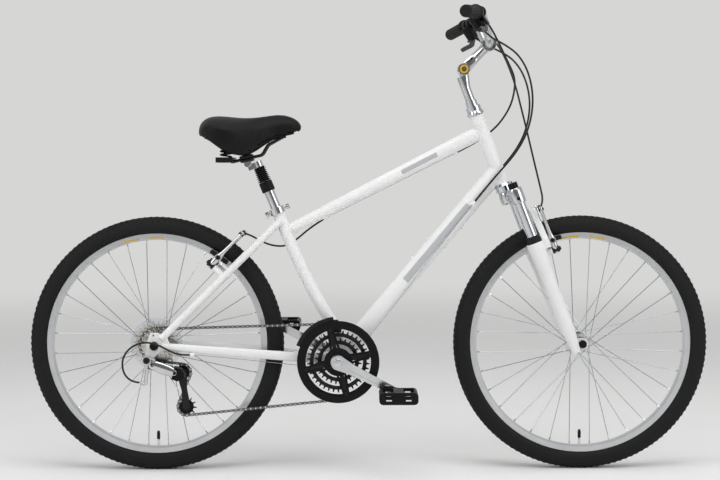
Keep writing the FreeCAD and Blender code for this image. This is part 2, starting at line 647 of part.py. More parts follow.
def dropout(side):
    """Flat drop-out with the axle slot and eyelets, and on the right the derailleur's hanger."""
    outline = [
        ("dropout_radius", "-(dropout_radius / 2)"), ("2.2 * dropout_radius", "0"),
        ("1.6 * dropout_radius", "1.4 * dropout_radius"), ("eyelet_radius", "eyelet_rise + eyelet_radius"),
        ("-(eyelet_setback + eyelet_radius)", "eyelet_rise + eyelet_radius"),
        ("-(dropout_radius)", "dropout_radius / 2"), ("-(dropout_radius)", "-(dropout_radius / 2)"),
    ]
    if side < 0:
        outline += [("-(hanger_setback + hanger_radius)", "-(hanger_drop)"),
                    ("-(hanger_setback - hanger_radius)", "-(hanger_drop)", "hanger_radius + running_fit")]
    else:
        outline += [("0", "-(dropout_radius)")]
    holes = [("axle_radius + running_fit",), ("eyelet_hole", "-eyelet_setback", "eyelet_rise")]
    name = "right_dropout" if side < 0 else "left_dropout"
    plate = padded(name, "dropout_thickness", outline, circles=holes)
    inner = dims.dropout_inner if side < 0 else -dims.dropout_inner - dims.dropout_thickness
    plate.Placement = Placement(REAR_AXLE - ACROSS * inner, SIDE)
    return plate


def rear_triangle():
    """Chain stays, seat stays with their bridges and brake bosses, and the drop-outs."""
    place, length = stay_frame()
    along = math.sqrt(dims.pad_radius_on_rim ** 2 - dims.rear_brake_ahead ** 2) - dims.pivot_below_pad
    pieces = []
    for side in (1, -1):
        root = BOTTOM_BRACKET + ACROSS * side * dims.chainstay_root
        spread = ACROSS * side * dims.stay_spread
        tail = REAR_AXLE + spread + (BOTTOM_BRACKET - REAR_AXLE).normalize() * dims.dropout_radius
        pieces.append(loft_tube(f"chainstay_{side}", root, tail, "chainstay_front_height",
                                "chainstay_rear_height", "chainstay_width"))
        points = [Vector(0, side * dims.stay_spread, dims.seatstay_foot),
                  Vector(0, side * dims.seatstay_neck, dims.seatstay_neck_along),
                  Vector(0, side * dims.seatstay_root, length)]
        stay = bent_tube([moved(point, place) for point in points], dims.seatstay_radius)
        pieces.append(shaped(f"seatstay_{side}", stay))
        pieces += brake_boss(place, dims.rear_brake_ahead, along, side, 0)
        pieces.append(dropout(side))
    neck = ACROSS * dims.seatstay_neck
    middle = moved(Vector(0, 0, dims.bridge_along), place)
    pieces.append(rod("brake_bridge", middle - neck, middle + neck, "bridge_radius"))
    share = (dims.lower_bridge_setback - dims.bb_setback) / (dims.half_wheelbase - dims.bb_setback)
    lower = BOTTOM_BRACKET + (REAR_AXLE - BOTTOM_BRACKET) * share
    spread = dims.chainstay_root + (dims.stay_spread - dims.chainstay_root) * share
    reach = ACROSS * spread
    pieces.append(rod("stay_bridge", lower - reach, lower + reach, "bridge_radius"))
    stop, hole = cable_stop("gear_loop", *near(REAR_AXLE, REAR_LOOP)[:2])
    whole = fuse("rear_tubes", pieces + [stop])
    seat_core = shaped("seat_tube_core", bent_tube(seat_tube_points(), dims.seat_tube_radius))
    core = solid("Cylinder", "bb_core", Placement(BOTTOM_BRACKET + ACROSS * dims.bb_half_width, SIDE),
                 Radius="bb_shell_radius", Height="2 * bb_half_width")
    joints = fuse("rear_joints", [seat_core, core, hole])
    keep("rear_triangle", cut("rear_triangle_body", whole, joints))


def headset():
    """Pressed cups at both ends of the head tube and the locknut above them."""
    bore = "steerer_radius + running_fit"
    top = "head_bottom + head_length"
    lower = revolved("lower_cup", [
        (bore, "head_bottom"), ("head_radius", "head_bottom"), ("cup_radius",
                                                                "head_bottom - lower_cup_height / 3"),
        ("cup_radius", "head_bottom - lower_cup_height"), (bore, "head_bottom - lower_cup_height")])
    upper = revolved("upper_cup", [
        (bore, top), ("head_radius", top), ("cup_radius", f"{top} + upper_cup_height / 3"),
        ("cup_radius", f"{top} + upper_cup_height / 2"), ("locknut_radius", f"{top} + upper_cup_height"),
        ("locknut_radius", f"{top} + upper_cup_height + locknut_height"),
        (bore, f"{top} + upper_cup_height + locknut_height")])
    keep("headset", group("headset_cups", [lower, upper]), STEERING)


def bottom_bracket():
    """Bearing cups screwed into both ends of the shell."""
    cups = []
    for name, start, sign in (("right_cup", "bb_half_width", 1), ("left_cup", "-bb_half_width", -1)):
        lip = f"{start} + {sign} * rim_flange"
        deep = f"{start} - {sign} * bb_shell_radius / 2"
        cups.append(revolved(name, [
            ("spindle_radius + running_fit", lip), ("bb_shell_radius", lip), ("bb_shell_radius", start),
            ("bb_bore - running_fit", start), ("bb_bore - running_fit", deep),
            ("spindle_radius + running_fit", deep)]))
    keep("bottom_bracket", group("bottom_bracket_cups", cups), Placement(BOTTOM_BRACKET, SIDE))


def seat_clamp():
    """Split collar at the top of the seat tube, and the quick release that closes it on the left."""
    ear = "collar_radius + collar_ear"
    ring = padded("collar_ring", "collar_height", circles=[("collar_radius",),
                                                           ("seat_tube_radius + running_fit",)])
    lug = solid("Box", "collar_lug", Placement(Vector(-dims.collar_ear,
                                                      dims.seat_tube_radius + dims.rim_flange, 0),
                Rotation()), Length="2 * collar_ear", Width=f"{ear} - seat_tube_radius - rim_flange",
                Height="collar_height")
    middle = dims.collar_radius + dims.collar_ear / 2
    axis_start = Vector(-dims.skewer_reach, middle, dims.collar_height / 2)
    axis_end = Vector(dims.skewer_reach, middle, dims.collar_height / 2)
    hole = rod("skewer_hole", axis_start, axis_end, "skewer_radius + running_fit")
    slot = solid("Box", "collar_slot", Placement(Vector(-dims.rim_flange / 2, dims.seat_tube_radius,
                                                        -dims.overrun),
                 Rotation()), Length="rim_flange", Width=f"{ear}", Height="collar_height + 2 * overrun")
    whole = fuse("collar_whole", [ring, lug])
    low = along_seat(0, 0, -dims.collar_height)
    place = Placement(low, SEAT.Rotation)
    keep("seat_collar", cut("seat_collar_body", whole, fuse("collar_cuts", [hole, slot])), place)
    skewer = rod("skewer", axis_start, axis_end, "skewer_radius")
    nut = rod("skewer_nut", axis_end, axis_end + Vector(dims.skewer_nut_length, 0, 0), "skewer_nut_radius")
    cam = rod("skewer_cam", axis_start, axis_start - Vector(dims.skewer_nut_length, 0, 0), "quick_cam_radius")
    grip_start = axis_start - Vector(dims.skewer_nut_length / 2, 0, 0)
    grip_end = grip_start + Vector(0, -dims.quick_lever_length, -dims.collar_height / 2)
    lever = rod("quick_lever", grip_start, grip_end, "quick_lever_radius")
    keep("seat_quick_release", fuse("quick_release_body", [skewer, nut, cam, lever]), place)
    print("joint seat_qr", list(moved(axis_start, place)), list(SEAT.Rotation.multVec(Vector(1, 0, 0))))


def frame():
    """Everything that makes up the bare frame."""
    front_triangle()
    rear_triangle()
    headset()
    bottom_bracket()
    seat_clamp()


# Suspension fork

def fork_crown():
    """Forged crown that clamps both stanchions, with the steerer standing in it."""
    reach = "leg_spread"
    outline = [
        ("leg_offset + crown_clamp_radius", "-(crown_depth)"), ("crown_depth", "0"),
        ("leg_offset + crown_clamp_radius", "crown_depth"), ("leg_offset + crown_clamp_radius", reach),
        ("leg_offset - crown_clamp_radius", reach, "crown_clamp_radius + running_fit"),
        ("-(crown_depth)", "crown_depth"), ("-(crown_depth)", "-(crown_depth)"),
        ("leg_offset - crown_clamp_radius", f"-({reach})"),
        ("leg_offset + crown_clamp_radius", f"-({reach})", "crown_clamp_radius + running_fit"),
    ]
    plate = padded("crown_forging", "crown_height", outline,
                   circles=[("stanchion_radius + running_fit", "leg_offset", reach),
                            ("stanchion_radius + running_fit", "leg_offset", f"-({reach})")])
    plate.Placement = Placement(Vector(0, 0, dims.crown_bottom), Rotation())
    top = dims.head_bottom + dims.head_length + dims.upper_cup_height + dims.locknut_height
    tube = rod("steerer", Vector(0, 0, dims.crown_bottom), Vector(0, 0, top), "steerer_radius")
    bore = rod("steerer_bore", Vector(0, 0, top - dims.quill_depth - dims.overrun),
               Vector(0, 0, top + dims.overrun), "quill_radius + running_fit")
    keep("fork_crown", cut("fork_crown_body", fuse("crown_and_steerer", [plate, tube]), bore), STEERING)


def per_leg(name, build):
    """Makes the same piece for both fork legs."""
    return group(name, [build(side) for side in (1, -1)])


def stanchions():
    """Chromed upper tubes of the fork and the preload knobs on top of them."""
    low = dims.stanchion_bottom
    top = dims.crown_bottom + dims.crown_height

    def tube(side):
        spot = Vector(dims.leg_offset, side * dims.leg_spread, 0)
        return rod("stanchion", spot + Vector(0, 0, low), spot + Vector(0, 0, top), "stanchion_radius")

    def knob(side):
        spot = Vector(dims.leg_offset, side * dims.leg_spread, top)
        return rod("preload_knob", spot, spot + Vector(0, 0, dims.knob_height), "knob_radius")

    keep("fork_stanchions", per_leg("stanchion_pair", tube), STEERING)
    keep("preload_knobs", per_leg("knob_pair", knob), STEERING)


def fork_leg(side):
    """Cast lower leg that flares towards the seal."""
    leg = revolved(f"lower_leg_{side}", [
        ("0", "-(leg_foot)"), ("leg_foot_radius", "-(leg_foot)"), ("leg_mid_radius", "leg_bore_bottom"),
        ("leg_mid_radius", "leg_flare"), ("leg_top_radius", "leg_top - seal_height"),
        ("leg_top_radius", "leg_top"), ("0", "leg_top")])
    leg.Placement = Placement(Vector(dims.leg_offset, side * dims.leg_spread, 0), Rotation())
    return leg


def fork_tip(side):
    """Drop-out at the foot of a fork leg, with an eyelet behind it."""
    rise = "fork_eyelet_rise"
    outline = [
        ("fork_offset", "fork_tip_radius", "fork_tip_radius"),
        ("leg_offset", f"{rise} + eyelet_radius"), ("leg_offset - leg_foot_radius",
                                                    f"{rise} + eyelet_radius"),
        ("leg_offset - leg_foot_radius", "-(leg_foot)"), ("fork_offset", "-(fork_tip_radius)"),
        ("fork_offset + fork_tip_radius", "0", "fork_tip_radius"),
    ]
    plate = padded(f"fork_tip_{side}", "fork_tip_thickness", outline,
                   circles=[("axle_radius + running_fit", "fork_offset", "0")])
    inner = dims.fork_tip_inner if side < 0 else -dims.fork_tip_inner - dims.fork_tip_thickness
    plate.Placement = Placement(-ACROSS * inner, SIDE)
    return plate


def fork_arch():
    """Arch that braces both legs over the tyre."""
    outline = [
        ("arch_half_width", "arch_foot"), ("arch_half_width", "leg_top"),
        ("arch_half_width - arch_shoulder", "arch_top"), ("-(arch_half_width - arch_shoulder)", "arch_top"),
        ("-arch_half_width", "leg_top"), ("-arch_half_width", "arch_foot"),
        ("-arch_inner_half_width", "arch_foot"), ("-arch_inner_half_width", "leg_top"),
        ("-(arch_inner_half_width / 2)", "arch_inner_top"), ("arch_inner_half_width / 2", "arch_inner_top"),
        ("arch_inner_half_width", "leg_top"), ("arch_inner_half_width", "arch_foot"),
    ]
    arch = padded("fork_arch", "arch_front - arch_back", outline)
    turn = Rotation(Vector(0, 1, 0), Vector(0, 0, 1), Vector(1, 0, 0), "ZXY")
    arch.Placement = Placement(Vector(dims.arch_back, 0, 0), turn)
    return arch


def fork_lowers():
    """Both lower legs as one casting with the arch, the brake bosses and the drop-outs."""
    along = math.sqrt(dims.pad_radius_on_rim ** 2 - dims.front_brake_ahead ** 2) - dims.pivot_below_pad
    axle_frame = Placement(Vector(dims.fork_offset, 0, 0), Rotation())
    pieces = [fork_arch()]
    bores = []
    for side in (1, -1):
        pieces += [fork_leg(side), fork_tip(side)]
        pieces += brake_boss(axle_frame, dims.front_brake_ahead, along, side, -dims.leg_offset)
        spot = Vector(dims.leg_offset, side * dims.leg_spread, 0)
        bores.append(rod("leg_bore", spot + Vector(0, 0, dims.leg_bore_bottom),
                         spot + Vector(0, 0, dims.leg_top + dims.overrun), "stanchion_radius + running_fit"))
    whole = fuse("lowers_whole", pieces)
    keep("fork_lowers", cut("fork_lowers_body", whole, fuse("leg_bores", bores)), STEERING)

    def seal(side):
        ring = revolved(f"seal_{side}", [
            ("stanchion_radius + running_fit", "leg_top"), ("seal_foot_radius", "leg_top"),
            ("seal_radius", "leg_top + seal_height"), ("stanchion_radius + running_fit",
                                                       "leg_top + seal_height")])
        ring.Placement = Placement(Vector(dims.leg_offset, side * dims.leg_spread, 0), Rotation())
        return ring

    keep("fork_seals", per_leg("seal_pair", seal), STEERING)


# Stem and handlebar

def stem_pivot():
    """The stem's tilt pivot, in the bicycle's frame."""
    return along_steering(dims.stem_pivot_ahead, 0, dims.stem_pivot_along)


def bar_centre():
    """Middle of the handlebar clamp."""
    rise = math.radians(dims.stem_rise)
    return stem_pivot() + Vector(math.cos(rise), 0, math.sin(rise)) * dims.stem_length


def stem():
    """Quill that stands in the steerer, and the arm that tilts on its head."""
    top = dims.head_bottom + dims.head_length + dims.upper_cup_height + dims.locknut_height
    quill_top = along_steering(0, 0, dims.stem_pivot_along - dims.pivot_radius)
    quill = rod("quill", along_steering(0, 0, top - dims.quill_depth), quill_top, "quill_radius")
    collar = rod("quill_collar", along_steering(0, 0, top + dims.seat_gap),
                 along_steering(0, 0, top + dims.quill_collar), "quill_collar")
    pivot = stem_pivot()
    half = ACROSS * dims.pivot_half_width
    head = rod("quill_head", pivot - half, pivot + half, "pivot_radius")
    neck = rod("quill_neck", along_steering(0, 0, dims.stem_pivot_along - 3 * dims.pivot_radius), pivot,
               "quill_radius")
    wide = half + ACROSS * dims.stem_arm_width
    hole = rod("quill_hole", pivot - wide, pivot + wide, "brake_pin + running_fit")
    bolt_shank = rod("pivot_shank", pivot - wide, pivot + wide, "brake_pin")
    bolts = [bolt_shank]
    for side in (1, -1):
        cheek = half * side + ACROSS * side * (dims.stem_arm_height / 2 + 2 * dims.seat_gap)
        bolts.append(rod("pivot_cap", pivot + cheek, pivot + cheek + ACROSS * side * dims.overrun,
                         "brake_arm_depth"))
    body = cut("quill_body", fuse("quill_whole", [quill, collar, neck, head]), hole)
    keep("stem_quill", group("quill_and_bolt", [body, fuse("pivot_bolt", bolts)]))
    print("joint stem_tilt", list(pivot), [0, 1, 0])
    centre = bar_centre()
    run = (centre - pivot).normalize()
    turn = Rotation(run, ACROSS.cross(run), ACROSS, "XYZ")
    inner = dims.pivot_half_width + dims.seat_gap
    yoke = "pivot_radius + stem_fork"
    pieces = []
    for start in (inner, -inner - dims.stem_arm_height / 2):
        cheek = padded("stem_cheek", "stem_arm_height / 2", [
            ("0", "pivot_radius"), ("0", "-pivot_radius", "pivot_radius + running_fit"),
            (yoke, "-stem_arm_height"), (yoke, "stem_arm_height", "stem_arm_height + running_fit")])
        cheek.Placement = Placement(pivot + ACROSS * start, turn)
        pieces.append(cheek)
    web = padded("stem_web", "2 * (pivot_half_width + seat_gap)", [
        ("pivot_radius + overrun", "-stem_arm_height"), (yoke, "-stem_arm_height"),
        (yoke, "stem_arm_height", "stem_arm_height + running_fit"), ("pivot_radius + overrun",
                                                                     "stem_arm_height")])
    web.Placement = Placement(pivot - ACROSS * inner, turn)
    tube_start = pivot + run * (dims.pivot_radius + dims.stem_fork)
    pieces += [web, rod("stem_tube", tube_start, centre, "stem_arm_height")]
    clamp_half = ACROSS * dims.clamp_half_width
    pieces.append(rod("bar_clamp", centre - clamp_half, centre + clamp_half, "clamp_radius"))
    bores = [rod("bar_bore", centre - clamp_half * 2, centre + clamp_half * 2, "bar_bulge + running_fit"),
             rod("cheek_bore", pivot - wide, pivot + wide, "brake_pin + running_fit")]
    keep("stem_arm", cut("stem_arm_body", fuse("stem_arm_whole", pieces), fuse("stem_bores", bores)))


def bar_points(side):
    """The handlebar's middle, bends and end on one side."""
    centre = bar_centre()
    knee = Vector(-dims.bar_setback, side * dims.bar_knee, dims.bar_rise)
    end = Vector(-dims.bar_end_setback, side * dims.bar_half_width, dims.bar_end_rise)
    return [centre, centre + Vector(0, side * dims.bar_middle, 0), centre + knee, centre + end]


def handlebar():
    """Riser bar, swelled where the stem clamps it, with a grip at each end."""
    left = bar_points(1)
    right = bar_points(-1)
    tube = shaped("bar_tube", bent_tube(right[:0:-1] + left[1:], dims.bar_radius, dims.bar_bend))
    centre = bar_centre()
    half = ACROSS * (dims.clamp_half_width + dims.overrun)
    keep("handlebar", fuse("handlebar_body", [tube, rod("bar_swell", centre - half, centre + half,
                                                        "bar_bulge")]))
    grips = []
    for side, points in ((1, left), (-1, right)):
        inner, end = points[2], points[3]
        run = (end - inner).normalize()
        grip = revolved(f"grip_{side}", [
            ("bar_radius + running_fit", "0"), ("grip_flange", "0"), ("grip_flange", "grip_end"),
            ("grip_radius", "2 * grip_end"), ("grip_radius - grip_end / 4", "grip_length / 2"),
            ("grip_radius", "grip_length - grip_end"), ("grip_radius - grip_end / 2",
                                                        "grip_length + grip_end"),
            ("0", "grip_length + grip_end"), ("0", "grip_length + running_fit"),
            ("bar_radius + running_fit", "grip_length + running_fit")])
        grip.Placement = pointing(end - run * dims.grip_length, run)
        grips.append(grip)
    keep("grips", group("grip_pair", grips))


# Brake and shift levers

def control_frame(side):
    """Frame of one side's controls: X out along the bar, Y towards the lever."""
    knee, end = bar_points(side)[2:]
    run = (end - knee).normalize()
    pitch = math.radians(dims.control_pitch)
    down = Vector(math.cos(pitch), 0, -math.sin(pitch))
    down = (down - run * down.dot(run)).normalize()
    return Placement(knee + run * dims.control_along, Rotation(run, down, run.cross(down), "XYZ"))


def lever_bracket(side):
    """Clamp and bracket that carry one brake lever, with the cable's barrel adjuster."""
    half = dims.control_clamp_width / 2
    band = rod(f"lever_band_{side}", Vector(-half, 0, 0), Vector(half, 0, 0), "control_clamp_radius")
    outline = [
        ("-(control_clamp_width / 2)", "0"), ("control_clamp_width / 2", "0"),
        ("control_clamp_width / 2", "control_clamp_radius"),
        ("lever_pivot_out + lever_barrel", "lever_pivot_reach - lever_barrel"),
        ("lever_pivot_out + lever_barrel", "lever_pivot_reach + lever_barrel"),
        ("-(control_clamp_width / 2)", "lever_pivot_reach + lever_barrel"),
    ]
    block = padded(f"lever_block_{side}", "2 * bracket_half_thickness", outline)
    block.Placement = Placement(Vector(0, 0, -dims.bracket_half_thickness), Rotation())
    reach = dims.lever_pivot_reach
    nose = Vector(-half, reach, 0)
    barrel = rod(f"adjuster_{side}", nose + Vector(half, 0, 0), nose - Vector(dims.barrel_length_adjuster,
                                                                              0, 0),
                 "barrel_radius_adjuster")
    whole = fuse(f"bracket_whole_{side}", [band, block, barrel])
    bore = rod(f"bracket_bore_{side}", Vector(-dims.pod_setback, 0, 0), Vector(dims.pod_setback, 0, 0),
               "bar_radius + running_fit")
    slot = solid("Box", f"lever_slot_{side}", Placement(
        Vector(0, dims.control_clamp_radius + dims.rim_flange,
               -dims.lever_half_thickness - dims.seat_gap), Rotation()),
        Length="lever_reach", Width="lever_reach", Height="2 * (lever_half_thickness + seat_gap)")
    pin_half = Vector(0, 0, dims.bracket_half_thickness)
    spot = Vector(dims.lever_pivot_out, reach, 0)
    pin = rod(f"lever_pin_{side}", spot - pin_half, spot + pin_half, "lever_pin")
    bracket = cut(f"bracket_body_{side}", whole, fuse(f"bracket_cuts_{side}", [bore, slot]))
    return fuse(f"bracket_{side}", [bracket, pin])


def brake_lever(label, side):
    """Two-finger brake lever that sweeps out along the grip."""
    out, reach = "lever_pivot_out", "lever_pivot_reach"
    tip = f"{out} + lever_length"
    knee = f"{out} + lever_knee"
    outline = [
        (f"{out} - lever_barrel", f"{reach} - lever_barrel / 2"), (f"{out} + lever_barrel",
                                                                   f"{reach} - lever_barrel"),
        (knee, "lever_reach - lever_width / 2"), (tip, "lever_reach - lever_width / 2"),
        (tip, "lever_reach + lever_width / 2", "lever_width / 2 + running_fit"),
        (knee, "lever_reach + lever_width / 2"),
        (f"{out} - lever_barrel / 2", f"{reach} + lever_barrel"),
    ]
    blade = padded(f"{label}_blade", "2 * lever_half_thickness", outline,
                   circles=[("lever_pin + running_fit", out, reach)])
    place = control_frame(side)
    low = moved(Vector(0, 0, -dims.lever_half_thickness), place)
    keep(label, blade, Placement(low, place.Rotation))
    pivot = moved(Vector(dims.lever_pivot_out, dims.lever_pivot_reach, 0), place)
    print("joint", label, list(pivot), list(place.Rotation.multVec(Vector(0, 0, -1))))


def pod_centre(side):
    """Root of the shifter's axis, below and inboard of the brake lever."""
    return Vector(-dims.pod_setback - dims.control_clamp_width / 2, 0, side * dims.pod_drop)


def pod_adjuster(side):
    """Both ends of the shifter's barrel adjuster, which points forward and inboard."""
    turn = math.radians(dims.pod_aim)
    aim = Vector(-math.cos(turn), math.sin(turn), 0)
    nose = pod_centre(side) + Vector(-dims.pod_radius / 2, dims.pod_reach - dims.pod_width, 0)
    return nose, nose + aim * (dims.pod_radius + dims.barrel_length_adjuster), aim


def shifter_pod(side):
    """Shifter housing clamped inboard of the brake lever."""
    middle = pod_centre(side)
    along = Vector(dims.pod_width / 2, 0, 0)
    foot = Vector(middle.x, 0, 0)
    band = rod(f"pod_band_{side}", foot - along, foot + along, "control_clamp_radius")
    drum = rod(f"pod_drum_{side}", middle, middle + Vector(0, dims.pod_reach, 0), "pod_radius")
    bore = rod(f"pod_bore_{side}", foot - along * 4, foot + along * 4, "bar_radius + running_fit")
    nose, end, _ = pod_adjuster(side)
    barrel = rod(f"pod_adjuster_{side}", nose, end, "barrel_radius_adjuster")
    stub = rod(f"pod_stub_{side}", middle + Vector(0, dims.pod_reach / 2, 0),
               middle + Vector(0, dims.pod_reach + dims.thumb_thickness, 0), "lever_pin")
    body = cut(f"pod_cut_{side}", fuse(f"pod_whole_{side}", [band, drum, barrel]), bore)
    return fuse(f"pod_{side}", [body, stub])


def shift_lever(label, side):
    """Thumb lever under the shifter, on its stub."""
    outline = [
        ("0", "-thumb_radius", "thumb_radius"), ("thumb_length", "-(thumb_width / 2)"),
        ("thumb_length", "thumb_width / 2", "thumb_width / 2 + running_fit"), ("0", "thumb_radius"),
        ("-thumb_radius", "0", "thumb_radius"),
    ]
    paddle = padded(f"{label}_paddle", "thumb_thickness - seat_gap", outline,
                    circles=[("lever_pin + running_fit",)])
    place = control_frame(side)
    spot = pod_centre(side) + Vector(0, dims.pod_reach + dims.seat_gap, 0)
    turn = place.Rotation.multiply(Rotation(Vector(1, 0, 0), Vector(), Vector(0, 1, 0), "ZXY"))
    keep(label, paddle, Placement(moved(spot, place), turn))
    print("joint", label, list(moved(spot, place)), list(place.Rotation.multVec(Vector(0, -side, 0))))


def controls():
    """Brake levers and shifters on both sides of the handlebar."""
    brackets = []
    for side in (1, -1):
        for piece in (lever_bracket(side), shifter_pod(side)):
            piece.Placement = control_frame(side)
            brackets.append(piece)
    keep("control_brackets", group("control_set", brackets))
    for word, side in (("right", -1), ("left", 1)):
        brake_lever(f"{word}_brake_lever", side)
        shift_lever(f"{word}_shift_lever", side)


# Rim brakes

def brake_arm(label, place, ahead, along, side):
    """Long brake arm on its boss, with the pad that it presses against the rim, in line with the rim there."""
    spread = "brake_boss_spread"
    lean = f"{spread} + brake_arm_lean"
    tip = "brake_arm_length"
    outline = [
        (f"{spread} - brake_arm_foot", "0"), (f"{spread} + brake_arm_foot", "0",
                                              "brake_arm_foot + running_fit"),
        (f"{lean} + brake_arm_tip", tip), (f"{lean} - brake_arm_tip", tip, "brake_arm_tip + running_fit"),
    ]
    arm = padded(f"{label}_arm", "brake_arm_depth", outline, circles=[("brake_pin + running_fit", spread,
                                                                       "0")])
    turn = Rotation(Vector(0, 1, 0), Vector(0, 0, 1), Vector(1, 0, 0), "XYZ")
    arm.Placement = Placement(Vector(-dims.brake_arm_depth / 2, 0, 0), turn)
    face = dims.rim_half_width + dims.pad_clearance
    height = dims.pivot_below_pad
    slope = Rotation(ACROSS, math.degrees(math.atan2(ahead, along + height)))
    corner = slope.multVec(Vector(-dims.pad_length / 2, 0, -dims.pad_height / 2))
    pad = solid("Box", f"{label}_pad", Placement(Vector(0, face, height) + corner, slope),
                Length="pad_length", Width="pad_thickness", Height="pad_height")
    middle = Vector(0, face + dims.pad_thickness / 2, height)
    outer = dims.brake_boss_spread + dims.brake_arm_foot
    stud = rod(f"{label}_stud", middle, Vector(0, outer, height), "pad_stud")
    nut = rod(f"{label}_nut", Vector(0, outer, height), Vector(0, outer + dims.pad_nut_height, height),
              "pad_nut")
    whole = fuse(f"{label}_body", [arm, pad, stud, nut])
    spot = moved(Vector(ahead, 0, along), place)
    base = Placement(spot, place.Rotation)
    if side < 0:
        mirror = doc.addObject("Part::Mirroring", f"{label}_mirror")
        mirror.Source = whole
        mirror.Normal = ACROSS
        whole = mirror
    keep(label, whole, base)
    pivot = moved(Vector(ahead, side * dims.brake_boss_spread, along), place)
    print("joint", label, list(pivot), list(place.Rotation.multVec(Vector(side, 0, 0))))


def rim_brakes():
    """Front and rear brake arms."""
    stays, _ = stay_frame()
    front = Placement(FRONT_AXLE, STEER_TILT)
    for wheel, place, ahead in (("front", front, dims.front_brake_ahead), ("rear", stays,
                                                                           dims.rear_brake_ahead)):
        along = math.sqrt(dims.pad_radius_on_rim ** 2 - ahead ** 2) - dims.pivot_below_pad
        for word in ("right", "left"):
            side = place.Rotation.multVec(Vector(0, 1, 0)).y * (1 if word == "left" else -1)
            brake_arm(f"{wheel}_brake_arm_{word}", place, ahead, along, round(side))


# Chain drive

def pitch_radius(teeth):
    """Radius of the circle that the chain's rollers follow."""
    return dims.chain_pitch / (2 * math.sin(math.pi / teeth))


def toothed(teeth, thickness, bore, phase):
    """Toothed wheel with a roller seat at the phase angle."""
    radius = pitch_radius(teeth)
    step = 2 * math.pi / teeth
    seat = dims.roller_radius + dims.tooth_gap
    tip_radius = radius + dims.tooth_height
    corners = []
    for index in range(teeth):
        middle = phase + index * step
        for sign in (-1, 1):
            tip = middle + sign * (step / 2 - dims.tooth_tip / tip_radius)
            crest = Vector(tip_radius * math.cos(tip), tip_radius * math.sin(tip), 0)
            out = Vector(math.cos(middle), math.sin(middle), 0)
            aside = Vector(-math.sin(middle), math.cos(middle), 0)
            root = out * (radius - seat) + aside * sign * seat * 0.8
            corners += [crest, root] if sign < 0 else [root, crest]
    hole = Part.Wire(Part.Circle(Vector(), Vector(0, 0, 1), bore).toShape())
    plate = Part.makeFace([Part.makePolygon(corners + corners[:1]), hole], "Part::FaceMakerBullseye")
    return plate.extrude(Vector(0, 0, thickness))


def derailleur_frame():
    """Frame of the rear derailleur's links: X along them, Z along their pivots."""
    pivot = REAR_AXLE + Vector(dims.rd_pivot_ahead - dims.hanger_setback, 0,
                               -dims.hanger_drop - dims.rd_pivot_drop)
    return Placement(pivot, Rotation(ACROSS, dims.rd_slant))


def cage_pivot():
    """Centre of the guide pulley, which the cage turns about."""
    return moved(Vector(dims.rd_link + dims.rd_cage_reach, 0, 0), derailleur_frame())


class ChainLoop:
    """Closed path of the chain round the ring, the cage's two pulleys and the driving cog."""

    def __init__(self, cage_angle):
        """Lays the path out for one angle of the cage, measured from straight down."""
        guide = cage_pivot()
        swing = Vector(math.sin(cage_angle), 0, -math.cos(cage_angle))
        tension = guide + swing * dims.rd_cage_length
        pulley = pitch_radius(dims.pulley_teeth)
        teeth = COG_TEETH[int(dims.drive_cog)]
        self.wheels = [
            (BOTTOM_BRACKET, pitch_radius(dims.big_teeth), -1), (tension, pulley, -1),
            (guide, pulley, 1), (REAR_AXLE, pitch_radius(teeth), -1)]
        self.spans = []
        count = len(self.wheels)
        ends = [self.tangent(self.wheels[i], self.wheels[(i + 1) % count]) for i in range(count)]
        for index, (centre, radius, sense) in enumerate(self.wheels):
            entry, leave = ends[index - 1][1], ends[index][0]
            start = math.atan2(entry.z - centre.z, entry.x - centre.x)
            stop = math.atan2(leave.z - centre.z, leave.x - centre.x)
            sweep = (stop - start) * sense % (2 * math.pi)
            self.spans.append(("arc", centre, radius, sense, start, radius * sweep))
            onward = ends[index][1]
            self.spans.append(("line", leave, onward, None, None, leave.distanceToPoint(onward)))
        self.length = sum(span[5] for span in self.spans)

    @staticmethod
    def tangent(first, second):
        """Gives where a straight run leaves one wheel and meets the next."""
        (start, radius_a, sense_a), (end, radius_b, sense_b) = first, second
        gap = Vector(end.x - start.x, 0, end.z - start.z)
        heading = math.atan2(gap.z, gap.x) - math.asin((sense_b * radius_b - sense_a * radius_a) / gap.Length)
        left = Vector(-math.sin(heading), 0, math.cos(heading))
        return start - left * sense_a * radius_a, end - left * sense_b * radius_b

    def at(self, distance):
        """Gives the point at a distance along the path."""
        distance %= self.length
        for kind, one, two, sense, start, length in self.spans:
            if distance <= length:
                break
            distance -= length
        if kind == "line":
            return one + (two - one) * (distance / length)
        turn = start + sense * distance / two
        return one + Vector(two * math.cos(turn), 0, two * math.sin(turn))

    def walk(self):
        """Steps along the path one pitch at a time, as rollers do, and says how many pitches close it."""
        rollers = [0.0]
        while True:
            here = self.at(rollers[-1])
            low, high = rollers[-1] + dims.chain_pitch / 2, rollers[-1] + dims.chain_pitch * 1.5
            for _ in range(40):
                middle = (low + high) / 2
                if here.distanceToPoint(self.at(middle)) < dims.chain_pitch:
                    low = middle
                else:
                    high = middle
            if low >= self.length:
                return rollers, len(rollers) - 1 + (self.length - rollers[-1]) / (low - rollers[-1])
            rollers.append(low)


def closed_loop():
    """Swings the cage until an even number of links closes the chain exactly."""
    start = math.radians(dims.rd_slant / 2)
    target = 2 * round(ChainLoop(start).walk()[1] / 2)
    low, high = start - 1, start + 1
    for _ in range(40):
        middle = (low + high) / 2
        if ChainLoop(middle).walk()[1] < target:
            high = middle
        else:
            low = middle
    middle = (low + high) / 2
    return ChainLoop(middle), int(target), middle


LOOP, LINKS, CAGE_ANGLE = closed_loop()
print("chain links", LINKS, "cage angle", round(math.degrees(CAGE_ANGLE), 3))


